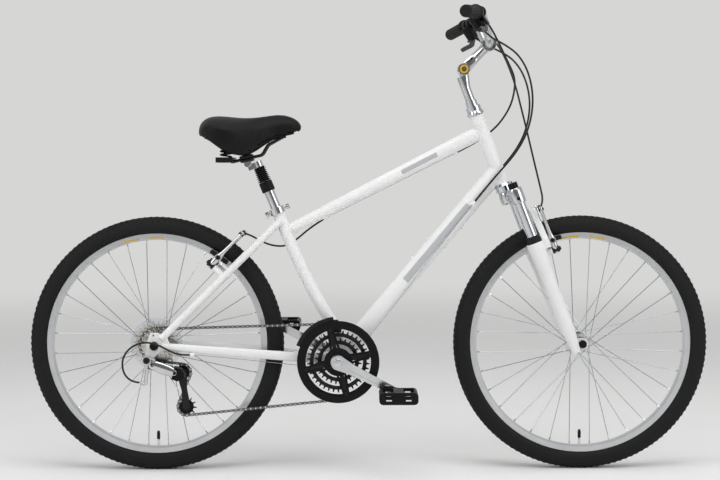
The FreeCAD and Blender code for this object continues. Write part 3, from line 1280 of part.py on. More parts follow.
def chain_offset(distance):
    """Gives how far right of the middle the chain runs: it slants between the ring and the cogs."""
    lengths = [span[5] for span in LOOP.spans]
    ring, cog = dims.ring_offset, dims.cog_offset + dims.drive_cog * dims.cog_pitch
    lower_start = lengths[0]
    lower_end = lower_start + lengths[1]
    upper_start = LOOP.length - lengths[-1]
    if distance <= lower_start:
        return ring
    if distance < lower_end:
        return ring + (cog - ring) * (distance - lower_start) / lengths[1]
    if distance < upper_start:
        return cog
    return cog + (ring - cog) * (distance - upper_start) / lengths[-1]


def roller_places():
    """Centres of the chain's rollers."""
    walk = LOOP.walk()[0][:LINKS]
    return [LOOP.at(distance) - ACROSS * chain_offset(distance) for distance in walk]


def seat_phase(wheel):
    """Angle of a roller that sits on one of the loop's wheels."""
    centre, radius, _ = LOOP.wheels[wheel]
    start = sum(span[5] for span in LOOP.spans[:2 * wheel])
    middle = start + LOOP.spans[2 * wheel][5] / 2
    nearest = min(LOOP.walk()[0][:LINKS], key=lambda distance: abs(distance - middle))
    spot = LOOP.at(nearest) - centre
    return math.atan2(spot.z, spot.x)


def link_plate(low):
    """One side plate of a link, with pointed ends, at a height above the chain's middle."""
    half = dims.chain_pitch / 2
    end = half + dims.plate_end
    corners = [Vector(end, 0, low), Vector(half, dims.plate_height, low), Vector(-half, dims.plate_height,
                                                                                 low),
               Vector(-end, 0, low), Vector(-half, -dims.plate_height, low), Vector(half,
                                                                                    -dims.plate_height, low)]
    return Part.Face(Part.makePolygon(corners + corners[:1])).extrude(Vector(0, 0, dims.plate_thickness))


def six_sided(x, low, high):
    """A chain roller as a six-sided prism."""
    corners = [Vector(x + dims.roller_radius * math.cos(turn * math.pi / 3),
                      dims.roller_radius * math.sin(turn * math.pi / 3), low) for turn in range(6)]
    return Part.Face(Part.makePolygon(corners + corners[:1])).extrude(Vector(0, 0, high - low))


def chain():
    """Roller chain: inner links with their rollers and the outer plates that join them."""
    half = dims.chain_pitch / 2
    inner = link_plate(dims.inner_plate).fuse([
        link_plate(-dims.inner_plate - dims.plate_thickness),
        six_sided(half, -dims.inner_plate, dims.inner_plate), six_sided(-half, -dims.inner_plate,
                                                                        dims.inner_plate)])
    outside = dims.inner_plate + dims.plate_thickness
    outer = [link_plate(outside), link_plate(-outside - dims.plate_thickness)]
    places = roller_places()
    links = []
    for index, start in enumerate(places):
        end = places[(index + 1) % len(places)]
        run = end - start
        turn = Rotation(run, Vector(-run.z, 0, run.x), Vector(), "XYZ")
        for plate in outer if index % 2 else [inner]:
            link = plate.copy()
            link.Placement = Placement((start + end) * 0.5, turn)
            links.append(link)
    keep("chain", shaped("chain_links", Part.makeCompound(links)))


def spider_arm(turn):
    """One arm of the spider, behind the guard's ribs, with a post to each of the smaller rings."""
    low = dims.ring_offset
    corner = Vector(dims.spider_inner, -dims.spider_width / 2, low)
    arm = Part.makeBox(dims.spider_reach - dims.spider_inner, dims.spider_width,
                       dims.guard_inner_face - low, corner)
    posts = []
    for index, teeth in ((1, dims.middle_teeth), (2, dims.small_teeth)):
        radius = pitch_radius(teeth) - dims.roller_radius - dims.ring_web / 2
        drop = index * dims.ring_pitch
        posts.append(Part.makeCylinder(dims.ring_post, drop + dims.ring_thickness, Vector(radius, 0,
                                                                                          low - drop)))
    arm = arm.fuse(posts)
    arm.rotate(Vector(), Vector(0, 0, 1), turn)
    return arm


def chainrings():
    """Three toothed rings on a spider with four arms."""
    rings = []
    for index, teeth in enumerate((dims.big_teeth, dims.middle_teeth, dims.small_teeth)):
        phase = seat_phase(0) if index == 0 else 0
        inner = pitch_radius(teeth) - dims.ring_web - dims.roller_radius
        ring = toothed(int(teeth), dims.ring_thickness, inner, phase)
        ring.translate(Vector(0, 0, dims.ring_offset - index * dims.ring_pitch - dims.ring_thickness / 2))
        rings.append(ring)
    foot = Vector(0, 0, dims.ring_offset)
    height = dims.guard_inner_face - dims.ring_offset
    hub_disc = Part.makeCylinder(dims.spider_inner + dims.overrun, height, foot)
    hub_disc = hub_disc.cut(Part.makeCylinder(dims.spindle_radius + dims.running_fit, height, foot))
    arms = [spider_arm(dims.guard_turn + 90 * index) for index in range(4)]
    whole = hub_disc.multiFuse(arms + rings)
    keep("chainrings", shaped("ring_set", whole), Placement(BOTTOM_BRACKET, SIDE))


def cassette():
    """Seven cogs on the freewheel's body."""
    carrier = revolved("freewheel_body", [
        ("freewheel_seat + running_fit", "freewheel_start"), ("carrier_radius", "freewheel_start"),
        ("carrier_radius", "freewheel_end"), ("freewheel_seat + running_fit", "freewheel_end")])
    pieces = [carrier]
    for index, teeth in enumerate(COG_TEETH):
        phase = seat_phase(3) if index == int(dims.drive_cog) else 0
        cog = toothed(teeth, dims.cog_thickness, dims.carrier_radius, phase)
        cog.translate(Vector(0, 0, dims.cog_offset + index * dims.cog_pitch - dims.cog_thickness / 2))
        pieces.append(shaped(f"cog_{index}", cog))
    keep("cassette", group("cog_set", pieces), Placement(REAR_AXLE, SIDE))


def pulley(label, wheel):
    """Toothed pulley of the rear derailleur, on its hub."""
    bore = dims.rd_pulley_bolt + dims.running_fit
    disc = toothed(int(dims.pulley_teeth), dims.pulley_thickness, bore, seat_phase(wheel))
    disc.translate(Vector(0, 0, -dims.pulley_thickness / 2))
    axis = Vector(0, 0, -dims.pulley_hub_half)
    sleeve = Part.makeCylinder(dims.pulley_hub, 2 * dims.pulley_hub_half, axis)
    sleeve = sleeve.cut(Part.makeCylinder(bore, 2 * dims.pulley_hub_half, axis))
    centre = LOOP.wheels[wheel][0] - ACROSS * (dims.cog_offset + dims.drive_cog * dims.cog_pitch)
    keep(label, shaped(f"{label}_body", disc.fuse(sleeve)), Placement(centre, SIDE))
    print("joint", label, list(centre), [0, 1, 0])


# Cranks and pedals

def crank_turn(side):
    """Rotation of a crank arm's own X axis to where the arm points."""
    droop = -dims.crank_droop if side < 0 else 180 - dims.crank_droop
    return SIDE.multiply(Rotation(Vector(0, 0, 1), droop))


def crank_arm(word, side):
    """Forged crank arm with a groove along its outer face."""
    outline = [
        ("0", "crank_boss"), ("0", "-crank_boss", "crank_boss + running_fit"),
        ("2 * crank_boss", "-crank_root"), ("crank_length - crank_eye", "-crank_tip"),
        ("crank_length", "-crank_eye"), ("crank_length", "crank_eye", "crank_eye + running_fit"),
        ("crank_length - crank_eye", "crank_tip"), ("2 * crank_boss", "crank_root"),
    ]
    body = padded(f"{word}_crank", "crank_thickness", outline,
                  circles=[("spindle_radius + running_fit",), ("pedal_axle + running_fit", "crank_length",
                                                               "0")])
    sketch = new_sketch(body, f"{word}_groove", "XY_Plane")
    draw(sketch, [("2 * crank_boss", "-crank_groove_half"), ("crank_length - 2 * crank_eye",
                                                             "-crank_groove_half"),
                  ("crank_length - 2 * crank_eye", "crank_groove_half"), ("2 * crank_boss",
                                                                          "crank_groove_half")])
    groove = body.newObject("PartDesign::Pocket", f"{word}_groove_cut")
    groove.Profile = sketch
    groove.setExpression("Length", bound("crank_groove_depth"))
    groove.Reversed = True
    turn = crank_turn(side)
    outward = turn.multVec(Vector(0, 0, 1))
    if side < 0:
        groove_up = Rotation(Vector(1, 0, 0), 180)
        turn = turn.multiply(groove_up)
        body.Placement = Placement(outward * (dims.crank_inner + dims.crank_thickness), turn)
    else:
        body.Placement = Placement(ACROSS * (dims.crank_inner + dims.crank_thickness), turn)
    return body


def pedal_axle(side):
    """Axle that a pedal turns on, screwed into the crank's eye."""
    spot = crank_turn(side).multVec(Vector(dims.crank_length, 0, 0))
    start = spot + ACROSS * side * dims.crank_inner
    end = spot + ACROSS * side * (dims.pedal_start + dims.pedal_width - dims.pedal_wall)
    return rod(f"pedal_axle_{side}", start, end, "pedal_axle")


def cranks():
    """Spindle, both crank arms and the pedal axles, as one turning set."""
    half = ACROSS * dims.spindle_half
    spindle = rod("spindle", -half, half, "spindle_radius")
    spider = revolved("spider", [
        ("spindle_radius + running_fit", "guard_inner_face + guard_thickness + seat_gap"),
        ("crank_boss", "guard_inner_face + guard_thickness + seat_gap"), ("crank_boss", "crank_inner"),
        ("spindle_radius + running_fit", "crank_inner")])
    spider.Placement = Placement(Vector(), SIDE)
    pieces = [spindle, spider, crank_arm("right", -1), crank_arm("left", 1), pedal_axle(1), pedal_axle(-1)]
    keep("cranks", group("crank_set", pieces), Placement(BOTTOM_BRACKET, Rotation()))


def chain_guard():
    """Black guard ring with four double ribs, backed by the spider that carries the rings."""
    body = padded("guard_band", "guard_thickness", circles=[("guard_radius",),
                                                            ("guard_radius - guard_band",)])
    rib = new_sketch(body, "guard_rib_outline", "XY_Plane")
    tip = "guard_radius - guard_band + rim_flange"
    for sign in ("", "-"):
        draw(rib, [
            ("guard_hub - rim_flange", f"{sign}(guard_rib_spread - guard_rib)"), (tip,
                f"{sign}(guard_rib_tip - guard_rib / 2)"),
            (tip, f"{sign}(guard_rib_tip + guard_rib / 2)"), ("guard_hub - rim_flange",
                                                              f"{sign}(guard_rib_spread)")])
    pad = body.newObject("PartDesign::Pad", "guard_rib_pad")
    pad.Profile = rib
    pad.setExpression("Length", bound("guard_thickness"))
    doc.recompute()
    fan = body.newObject("PartDesign::PolarPattern", "guard_ribs")
    fan.Originals = [pad]
    fan.Axis = (rib, ["N_Axis"])
    fan.Angle = 360
    fan.Occurrences = 4
    body.Tip = fan
    hub_ring = body.newObject("PartDesign::Pad", "guard_hub_pad")
    ring = new_sketch(body, "guard_hub_outline", "XY_Plane")
    draw_circle(ring, "guard_hub")
    draw_circle(ring, "spindle_radius + running_fit")
    hub_ring.Profile = ring
    hub_ring.setExpression("Length", bound("guard_thickness"))
    body.Tip = hub_ring
    turn = SIDE.multiply(Rotation(Vector(0, 0, 1), dims.guard_turn))
    keep("chain_guard", body, Placement(BOTTOM_BRACKET - ACROSS * dims.guard_inner_face, turn))


def pedal(label, side):
    """Platform pedal: a cage with rounded corners round a bored barrel."""
    spot = crank_turn(side).multVec(Vector(dims.crank_length, 0, 0)) + BOTTOM_BRACKET
    half, high = "pedal_length / 2", "pedal_height / 2"
    corner = "pedal_corner"
    outline = [
        (half, f"-({high} - {corner})", corner), (half, f"{high} - {corner}"),
        (f"{half} - {corner}", high, corner), (f"-({half} - {corner})", high),
        (f"-({half})", f"{high} - {corner}", corner), (f"-({half})", f"-({high} - {corner})"),
        (f"-({half} - {corner})", f"-({high})", corner), (f"{half} - {corner}", f"-({high})"),
    ]
    block = padded(f"{label}_block", "pedal_width", outline)
    cuts = []
    for sign in (1, -1):
        near = dims.pedal_barrel if sign > 0 else -dims.pedal_length / 2 + dims.pedal_wall
        cuts.append(solid("Box", f"{label}_well_{sign}", Placement(
            Vector(near, -dims.pedal_height, dims.pedal_wall), Rotation()),
            Length="pedal_length / 2 - pedal_wall - pedal_barrel", Width="2 * pedal_height",
            Height="pedal_width - 2 * pedal_wall"))
        cuts.append(solid("Box", f"{label}_side_{sign}", Placement(
            Vector(sign * dims.pedal_length / 4 - dims.pedal_window / 2, -dims.pedal_window / 2,
                   -dims.overrun),
            Rotation()), Length="pedal_window", Width="pedal_window", Height="pedal_width + 2 * overrun"))
    cuts.append(solid("Cylinder", f"{label}_bore", Placement(Vector(0, 0, -dims.overrun), Rotation()),
                      Radius="pedal_axle + running_fit",
                      Height="pedal_width - pedal_wall + overrun + seat_gap"))
    body = cut(f"{label}_body", block, fuse(f"{label}_cuts", cuts))
    turn = SIDE if side < 0 else SIDE.multiply(Rotation(Vector(1, 0, 0), 180))
    keep(label, body, Placement(spot + ACROSS * side * dims.pedal_start, turn))
    print("joint", label, list(spot), [0, 1, 0])


# Derailleurs

def pivot_block(name, x_low, x_high, x_pin):
    """Web with two ears and the two pins that the derailleur's links turn on."""
    high = dims.rd_link_half_height + dims.seat_gap + dims.rd_ear
    low_y = -dims.rd_outer - dims.rd_link_thickness
    web_start = x_low if x_low < x_pin - dims.rd_link_end else x_high - dims.rd_web
    web = solid("Box", f"{name}_web", Placement(Vector(web_start, low_y, -high), Rotation()), Length="rd_web",
                Width="rd_outer - rd_inner + 2 * rd_link_thickness",
                Height="2 * (rd_link_half_height + seat_gap + rd_ear)")
    pieces = [web]
    for base in (-high, high - dims.rd_ear):
        ear = solid("Box", f"{name}_ear", Placement(Vector(x_low, low_y, base), Rotation()),
                    Width="rd_outer - rd_inner + 2 * rd_link_thickness", Height="rd_ear")
        ear.Length = x_high - x_low
        pieces.append(ear)
    for across in (dims.rd_outer, dims.rd_inner):
        pin = Vector(x_pin, -across, 0)
        pieces.append(rod(f"{name}_pin", pin - Vector(0, 0, high), pin + Vector(0, 0, high), "rd_pin"))
    return pieces


def derailleur_link(label, across):
    """One of the two parallel links that carry the derailleur's lower knuckle."""
    outline = [
        ("0", "-rd_link_thickness / 2", "rd_link_thickness / 2 + running_fit"),
        ("rd_link", "-rd_link_thickness / 2"),
        ("rd_link", "rd_link_thickness / 2", "rd_link_thickness / 2 + running_fit"),
        ("0", "rd_link_thickness / 2"),
    ]
    bar = padded(f"{label}_bar", "2 * rd_link_half_height", outline,
                 circles=[("rd_pin + running_fit",), ("rd_pin + running_fit", "rd_link", "0")])
    place = derailleur_frame()
    keep(label, bar, Placement(moved(Vector(0, -across, -dims.rd_link_half_height), place), place.Rotation))
    print("joint", label, list(moved(Vector(0, -across, 0), place)), list(place.Rotation.multVec(Vector(0,
        0, 1))))


def rear_derailleur():
    """Knuckles, links, cage and pulleys of the rear derailleur."""
    place = derailleur_frame()
    reach = dims.rd_link_end + dims.rd_link_thickness
    upper = pivot_block("upper_knuckle", -reach - dims.rd_web / 2, dims.rd_link_end / 2, 0)
    hanger = REAR_AXLE + Vector(-dims.hanger_setback, 0, -dims.hanger_drop)
    local = place.inverse().multVec(hanger)
    face = dims.dropout_inner + dims.dropout_thickness + dims.seat_gap
    upper.append(rod("hanger_boss", local - ACROSS * face,
                     local - ACROSS * (dims.rd_outer + dims.rd_link_thickness),
                     "rd_boss_radius"))
    end = place.inverse().multVec(near(REAR_AXLE, REAR_LOOP)[-1])
    lug = end + Vector(dims.adjuster_length, 0, 0)
    upper.append(rod("cable_lug", Vector(-reach, lug.y, 0), lug, "lug_radius"))
    upper.append(rod("cable_adjuster", end + Vector(3 * dims.seat_gap, 0, 0), lug, "adjuster_radius"))
    knuckle = fuse("upper_knuckle", upper)
    upper_room = solid("Box", "knuckle_room", Placement(
        Vector(-dims.rd_link_end + dims.rd_link_end / 4, -dims.rd_outer - 2 * dims.rd_link_thickness,
               -dims.rd_link_half_height - dims.seat_gap / 2), Rotation()),
        Length="rd_link", Width="2 * rd_outer", Height="2 * rd_link_half_height + seat_gap")
    pins = [rod("knuckle_pin", Vector(0, -across, -dims.rd_link_half_height - dims.rd_ear),
                Vector(0, -across, dims.rd_link_half_height + dims.rd_ear), "rd_pin")
            for across in (dims.rd_outer, dims.rd_inner)]
    cleared = cut("knuckle_cleared", knuckle, upper_room)
    keep("derailleur_knuckle", fuse("derailleur_knuckle_body", [cleared] + pins), place)
    derailleur_link("derailleur_outer_link", dims.rd_outer)
    derailleur_link("derailleur_inner_link", dims.rd_inner)
    lower = pivot_block("lower_knuckle", dims.rd_link - dims.rd_link_end / 2,
                        dims.rd_link + dims.rd_link_end + dims.rd_web, dims.rd_link)
    centre = Vector(dims.rd_link + dims.rd_cage_reach, 0, 0)
    lower.append(rod("cage_boss", centre - ACROSS * dims.rd_knuckle_inner,
                     centre - ACROSS * (dims.rd_outer + dims.rd_link_thickness / 2), "rd_knuckle"))
    room = solid("Box", "link_room", Placement(
        Vector(0, -dims.rd_outer - 2 * dims.rd_link_thickness, -dims.rd_link_half_height - dims.seat_gap / 2),
        Rotation()), Length="rd_link + rd_link_end * 3 / 4", Width="2 * rd_outer",
        Height="2 * rd_link_half_height + seat_gap")
    lower_pins = [rod("lower_pin", Vector(dims.rd_link, -across, -dims.rd_link_half_height - dims.rd_ear),
                      Vector(dims.rd_link, -across, dims.rd_link_half_height + dims.rd_ear), "rd_pin")
                  for across in (dims.rd_outer, dims.rd_inner)]
    shaped_knuckle = cut("lower_cleared", fuse("lower_knuckle", lower), room)
    keep("derailleur_lower_knuckle", fuse("lower_knuckle_body", [shaped_knuckle] + lower_pins), place)
    outer_pin = moved(Vector(dims.rd_link, -dims.rd_outer, 0), place)
    print("joint derailleur_lower_knuckle", list(outer_pin), list(place.Rotation.multVec(Vector(0, 0, 1))))
    derailleur_cage()
    pulley("guide_pulley", 2)
    pulley("tension_pulley", 1)


def cage_plate(name, head, waist, tail):
    """Cage plate along its own X axis: round at both pulleys and narrow between."""
    return padded(name, "rd_cage_plate", [
        ("0", head), ("0", f"-({head})", f"{head} + running_fit"),
        ("rd_cage_length / 2", f"-({waist})"), ("rd_cage_length", f"-({tail})"),
        ("rd_cage_length", tail, f"{tail} + running_fit"), ("rd_cage_length / 2", waist)])


def derailleur_cage():
    """Two plates that hold the pulleys, with the bolts that they turn on."""
    line = dims.cog_offset + dims.drive_cog * dims.cog_pitch
    outer = cage_plate("cage_outer", "rd_cage_head", "rd_cage_waist", "rd_cage_tail")
    inner = cage_plate("cage_inner", "rd_cage_tail", "rd_cage_waist", "rd_cage_tail")
    outer.Placement = Placement(Vector(0, 0, dims.rd_cage_half_gap), Rotation())
    inner.Placement = Placement(Vector(0, 0, -dims.rd_cage_half_gap - dims.rd_cage_plate), Rotation())
    reach = Vector(0, 0, dims.rd_cage_half_gap + dims.rd_cage_plate)
    bolts = [rod("cage_bolt", spot - reach, spot + reach, "rd_pulley_bolt")
             for spot in (Vector(), Vector(dims.rd_cage_length, 0, 0))]
    turn = SIDE.multiply(Rotation(Vector(0, 0, 1), math.degrees(CAGE_ANGLE) - 90))
    centre = cage_pivot() - ACROSS * line
    keep("derailleur_cage", fuse("derailleur_cage_body", [outer, inner] + bolts), Placement(centre, turn))
    print("joint derailleur_cage", list(centre), [0, 1, 0])


def arc_band(start, low, high):
    """Curved plate that follows the big ring's edge from a starting angle."""
    stop = start + math.radians(dims.fd_sweep)
    half = (start + stop) / 2
    corners = [[Vector(radius * math.cos(turn), radius * math.sin(turn), 0) for turn in (start, half, stop)]
               for radius in (low, high)]
    edges = [Part.Arc(*corners[0]).toShape(), Part.makeLine(corners[0][2], corners[1][2]),
             Part.Arc(*reversed(corners[1])).toShape(), Part.makeLine(corners[1][0], corners[0][0])]
    return Part.Face(Part.Wire(edges)).extrude(Vector(0, 0, dims.fd_plate))


def front_derailleur():
    """Band on the seat tube with its housing, and the cage that pushes the chain across."""
    points = seat_tube_points()
    run = (points[1] - points[2]).normalize()
    spot = points[2] + run * dims.fd_clamp_along
    end = spot + run * dims.fd_clamp_height
    band = cut("fd_band", rod("fd_band_outer", spot, end, "seat_tube_radius + fd_clamp_wall"),
               rod("fd_band_inner", spot - run, end + run, "seat_tube_radius + running_fit"))
    middle = (spot + end) * 0.5
    low_y = -dims.fd_inner_offset + dims.fd_shift + dims.fd_bridge / 2
    house = solid("Box", "fd_house", Placement(Vector(
        middle.x - dims.fd_body_length / 2, low_y - dims.fd_bridge, middle.z - dims.fd_body_height / 2),
        Rotation()),
        Length="fd_body_length", Height="fd_body_height")
    house.Width = -dims.seat_tube_radius - low_y + dims.fd_bridge
    clear = rod("fd_clear", spot - run * dims.fd_body_length, end + run * dims.fd_body_length,
                "seat_tube_radius + running_fit")
    keep("front_derailleur_clamp", fuse("fd_clamp_body", [band, cut("fd_house_cut", house, clear)]))
    lean = middle - BOTTOM_BRACKET
    start = math.atan2(lean.z, lean.x)
    outer = arc_band(start, dims.fd_outer_low, dims.fd_outer_high)
    inner = arc_band(start, dims.fd_inner_low, dims.fd_outer_high)
    outer.translate(Vector(0, 0, dims.fd_outer_offset))
    inner.translate(Vector(0, 0, dims.fd_inner_offset))
    turn_middle = start + math.radians(dims.fd_sweep / 4)
    high = dims.fd_outer_high - dims.fd_plate * 2
    spot = Vector(high * math.cos(turn_middle), high * math.sin(turn_middle), dims.fd_inner_offset)
    bridge = Part.makeCylinder(dims.fd_plate * 2,
                               dims.fd_outer_offset - dims.fd_inner_offset + dims.fd_plate, spot)
    arm_foot = lean.z + dims.fd_body_height / 2 + dims.seat_gap
    arm_height = (dims.fd_inner_low + dims.fd_outer_high) / 2 - arm_foot
    arm = Part.makeBox(dims.fd_arm_length, arm_height, dims.fd_arm_reach, Vector(
        lean.x - dims.fd_arm_length / 2, arm_foot, dims.fd_inner_offset + dims.fd_plate - dims.fd_arm_reach))
    whole = outer.fuse([inner, bridge, arm])
    keep("front_derailleur_cage", shaped("fd_cage", whole), Placement(BOTTOM_BRACKET, SIDE))
    print("joint front_derailleur", list(middle), [0, 1, 0])


# Seat post and saddle

def seat_post():
    """Suspension seat post: the tube, its sprung plunger, the boot and the laid-back head."""
    top = dims.post_top
    tube = rod("post_tube", Vector(0, 0, -dims.post_insert), Vector(0, 0, top), "post_radius")
    bore = rod("post_bore", Vector(0, 0, -dims.plunger_insert - dims.overrun - dims.seat_travel),
               Vector(0, 0, top + dims.overrun), "plunger_radius + running_fit")
    keep("seat_post", cut("seat_post_body", tube, bore), SEAT)
    start = top + dims.boot_nut_height
    end = start + dims.boot_height
    stem_rod = rod("plunger_rod", Vector(0, 0, -dims.plunger_insert), Vector(0, 0, end + dims.head_height),
                   "plunger_radius")
    head = rod("post_head", Vector(0, 0, end + dims.seat_gap), Vector(0, 0, end + dims.head_height),
               "head_round")
    back = solid("Box", "head_back", Placement(Vector(-dims.head_back, -dims.head_half_width,
                                                      end + dims.seat_gap),
                 Rotation()), Length="head_back", Width="2 * head_half_width",
                 Height="head_height - seat_gap")
    keep("seat_post_plunger", fuse("plunger_body", [stem_rod, head, back]), SEAT)
    nut = revolved("boot_nut", [
        ("post_radius + running_fit", "post_top - boot_nut_height / 4"),
        ("boot_nut_radius", "post_top - boot_nut_height / 4"), ("boot_nut_radius",
                                                                "post_top + boot_nut_height"),
        ("plunger_radius + seat_gap", "post_top + boot_nut_height"), ("plunger_radius + seat_gap",
                                                                      "post_top + seat_gap"),
        ("post_radius + running_fit", "post_top + seat_gap")])
    keep("seat_post_boot", group("boot_and_nut", [nut, shaped("boot_bellows", bellows(start, end))]), SEAT)


def bellows(start, end):
    """Ribbed rubber boot: a ruled loft through four circles for each rib, with its bore."""
    pitch = (end - start - dims.seat_gap) / dims.boot_ribs
    rings = []
    for rib in range(int(dims.boot_ribs)):
        for share, radius in ((0, dims.boot_groove), (0.3, dims.boot_rib), (0.6, dims.boot_rib), (0.9,
            dims.boot_groove)):
            height = Vector(0, 0, start + (rib + share) * pitch)
            rings.append(Part.Wire(Part.Circle(height, Vector(0, 0, 1), radius).toShape()))
    skin = Part.makeLoft(rings, True, True)
    bore = Part.makeCylinder(dims.plunger_radius + dims.seat_gap, 2 * (end - start), Vector(0, 0,
        start - dims.overrun))
    return skin.cut(bore)


# Side view of the saddle, as shares of its length from the tail and of its height above the skirt:
# place, then crown, edge and skirt heights, and the half width as a share of the widest.
SADDLE_SHARES = (
    (0.00, 0.62, 0.56, 0.50, 0.42),
    (0.05, 0.86, 0.66, 0.42, 0.78),
    (0.16, 0.95, 0.66, 0.26, 1.00),
    (0.40, 0.91, 0.58, 0.00, 0.92),
    (0.60, 0.93, 0.62, 0.22, 0.56),
    (0.78, 0.99, 0.76, 0.46, 0.36),
    (0.94, 0.93, 0.76, 0.56, 0.29),
    (1.00, 0.74, 0.68, 0.60, 0.16),
)
PADDING_SHARE = 0.58


def arch(x, half, edge, middle):
    """Arc across the saddle from its left edge over the middle to its right edge."""
    return Part.Arc(Vector(x, half, edge), Vector(x, 0, middle), Vector(x, -half, edge)).toShape()


def ring_of(over, under):
    """Closes two arcs across the saddle with straight sides."""
    left, right = over.Vertexes[0].Point, over.Vertexes[1].Point
    low_left, low_right = under.Vertexes[0].Point, under.Vertexes[1].Point
    return Part.Wire([over, Part.makeLine(right, low_right), under, Part.makeLine(low_left, left)])


def saddle_sections():
    """Cross-sections of the padded cover and of the base that it sits on, from the tail to the nose."""
    covers = []
    bases = []
    for place, crown, edge, skirt, width in SADDLE_SHARES:
        x = -dims.saddle_tail + place * dims.saddle_length
        rise = [dims.saddle_skirt + share * dims.saddle_height for share in (crown, edge, skirt)]
        half = width * dims.saddle_half_width
        foot = half - dims.saddle_draw_in * width
        floor = rise[0] - (rise[0] - rise[2]) * PADDING_SHARE
        covers.append(ring_of(arch(x, half, rise[1], rise[0]), arch(x, foot, rise[2], floor)))
        inside = foot - dims.base_thickness * width
        low = rise[2] - dims.seat_gap
        thick = dims.base_thickness
        bases.append(ring_of(arch(x, inside, low, floor - dims.seat_gap),
                             arch(x, inside, low - thick, floor - dims.seat_gap - thick)))
    return covers, bases[1:-1]


def rail_points(side):
    """One saddle rail, from the rear bracket up to the nose, in the saddle's frame at the seat tube's top."""
    spread = side * dims.rail_spread
    return [
        Vector(-dims.rear_rail_setback, spread, dims.rear_rail_height + dims.bracket_drop),
        Vector(-dims.clamp_setback, spread, dims.clamp_height),
        Vector(-dims.rail_knee_setback, spread, dims.rail_knee_height),
        Vector(-dims.rail_rise_setback, spread, dims.rail_rise_height),
        Vector(dims.rail_nose_ahead, side * dims.rail_nose_spread, dims.rail_nose_height)]


def biarc(start, heading, end, arrival):
    """Joins two points with two arcs that follow the headings at both."""
    gap = end - start
    both = gap.dot(heading + arrival)
    spread = 2 * (1 - heading.dot(arrival))
    reach = (-both + math.sqrt(both * both + spread * gap.dot(gap))) / spread
    joint = (start + end + (heading - arrival) * reach) * 0.5
    arcs = []
    for first, last, corner in ((start, joint, start + heading * reach), (joint, end, end - arrival * reach)):
        middle = (first + last) * 0.5
        half = first.distanceToPoint(middle)
        height = corner.distanceToPoint(middle)
        radius = half * reach / height
        bulge = radius - math.sqrt(radius * radius - half * half)
        arcs.append(Part.Arc(first, middle + (corner - middle) * (bulge / height), last).toShape())
    return arcs


def coil_spring():
    """Coil spring in one unbroken wire, with a short straight tail at each end."""
    quarters = 4 * int(dims.spring_turns)
    slope = dims.spring_rise / (2 * math.pi)

    def spot(quarter):
        turn = quarter * math.pi / 2
        return Vector(dims.spring_radius * math.cos(turn), dims.spring_radius * math.sin(turn), slope * turn)

    def heading(quarter):
        turn = quarter * math.pi / 2
        return Vector(-dims.spring_radius * math.sin(turn), dims.spring_radius * math.cos(turn),
                      slope).normalize()

    tail = 2 * dims.spring_wire
    first = spot(0) - heading(0) * tail
    last = spot(quarters) + heading(quarters) * tail
    edges = [Part.makeLine(first, spot(0))]
    for quarter in range(quarters):
        edges += biarc(spot(quarter), heading(quarter), spot(quarter + 1), heading(quarter + 1))
    edges.append(Part.makeLine(spot(quarters), last))
    path = Part.Wire(edges)
    points = path.discretize(40 * quarters)
    apart = 20 * 4 / 2
    gaps = [a.distanceToPoint(b) for i, a in enumerate(points) for j,
            b in enumerate(points) if j - i > 2 * apart]
    print("spring's least gap to itself", round(min(gaps) - 2 * dims.spring_wire, 2))
    section = Part.Wire(Part.Circle(first, heading(0), dims.spring_wire).toShape())
    return path.makePipeShell([section], True, False)


def saddle():
    """Padded cover, its base, the rails with their rear bracket, and the coil springs under the tail."""
    cover_rings, base_rings = saddle_sections()
    cushion = Part.makeLoft(cover_rings, True, False)
    keep("saddle_cover", shaped("saddle_cushion", cushion), SADDLE)
    plate = Part.makeLoft(base_rings, True, False)
    spring_top = dims.spring_foot + dims.spring_turns * dims.spring_rise + 2.5 * dims.spring_wire
    crown = dims.saddle_skirt + dims.saddle_height
    rails = [bent_tube(rail_points(side), dims.rail_radius, dims.rail_bend) for side in (1, -1)]
    sockets = [bent_tube(rail_points(side), dims.rail_radius + dims.running_fit,
                         dims.rail_bend) for side in (1, -1)]
    bosses = []
    springs = []
    for side in (1, -1):
        foot = Vector(-dims.spring_setback, side * dims.spring_spread, 0)
        bosses.append(Part.makeCylinder(dims.spring_boss, crown - spring_top, foot + Vector(0, 0,
                                                                                            spring_top)))
        spring = coil_spring()
        spring.Placement = Placement(foot + Vector(0, 0, dims.spring_foot + dims.spring_wire), Rotation())
        springs.append(shaped("saddle_spring", spring))
    block = Part.makeBox(dims.nose_block_length, 2 * dims.nose_block_half_width,
                         crown - dims.nose_block_foot, Vector(
        dims.nose_block_ahead - dims.nose_block_length / 2, -dims.nose_block_half_width,
        dims.nose_block_foot))
    under = plate.fuse(bosses + [block]).cut([cushion] + sockets)
    keep("saddle_base", shaped("saddle_plate", max(under.Solids, key=lambda piece: piece.Volume)), SADDLE)
    bracket = solid("Box", "rear_bracket", Placement(
        Vector(-dims.spring_setback - dims.bracket_length / 2, -dims.bracket_half_width,
               dims.spring_foot - dims.bracket_height), Rotation()),
        Length="bracket_length", Width="2 * bracket_half_width", Height="bracket_height")
    frame_piece = fuse("rail_frame", [shaped("saddle_rail", rail) for rail in rails] + [bracket])
    keep("saddle_rails", group("rails_and_springs", [frame_piece] + springs), SADDLE)
    saddle_clamp()


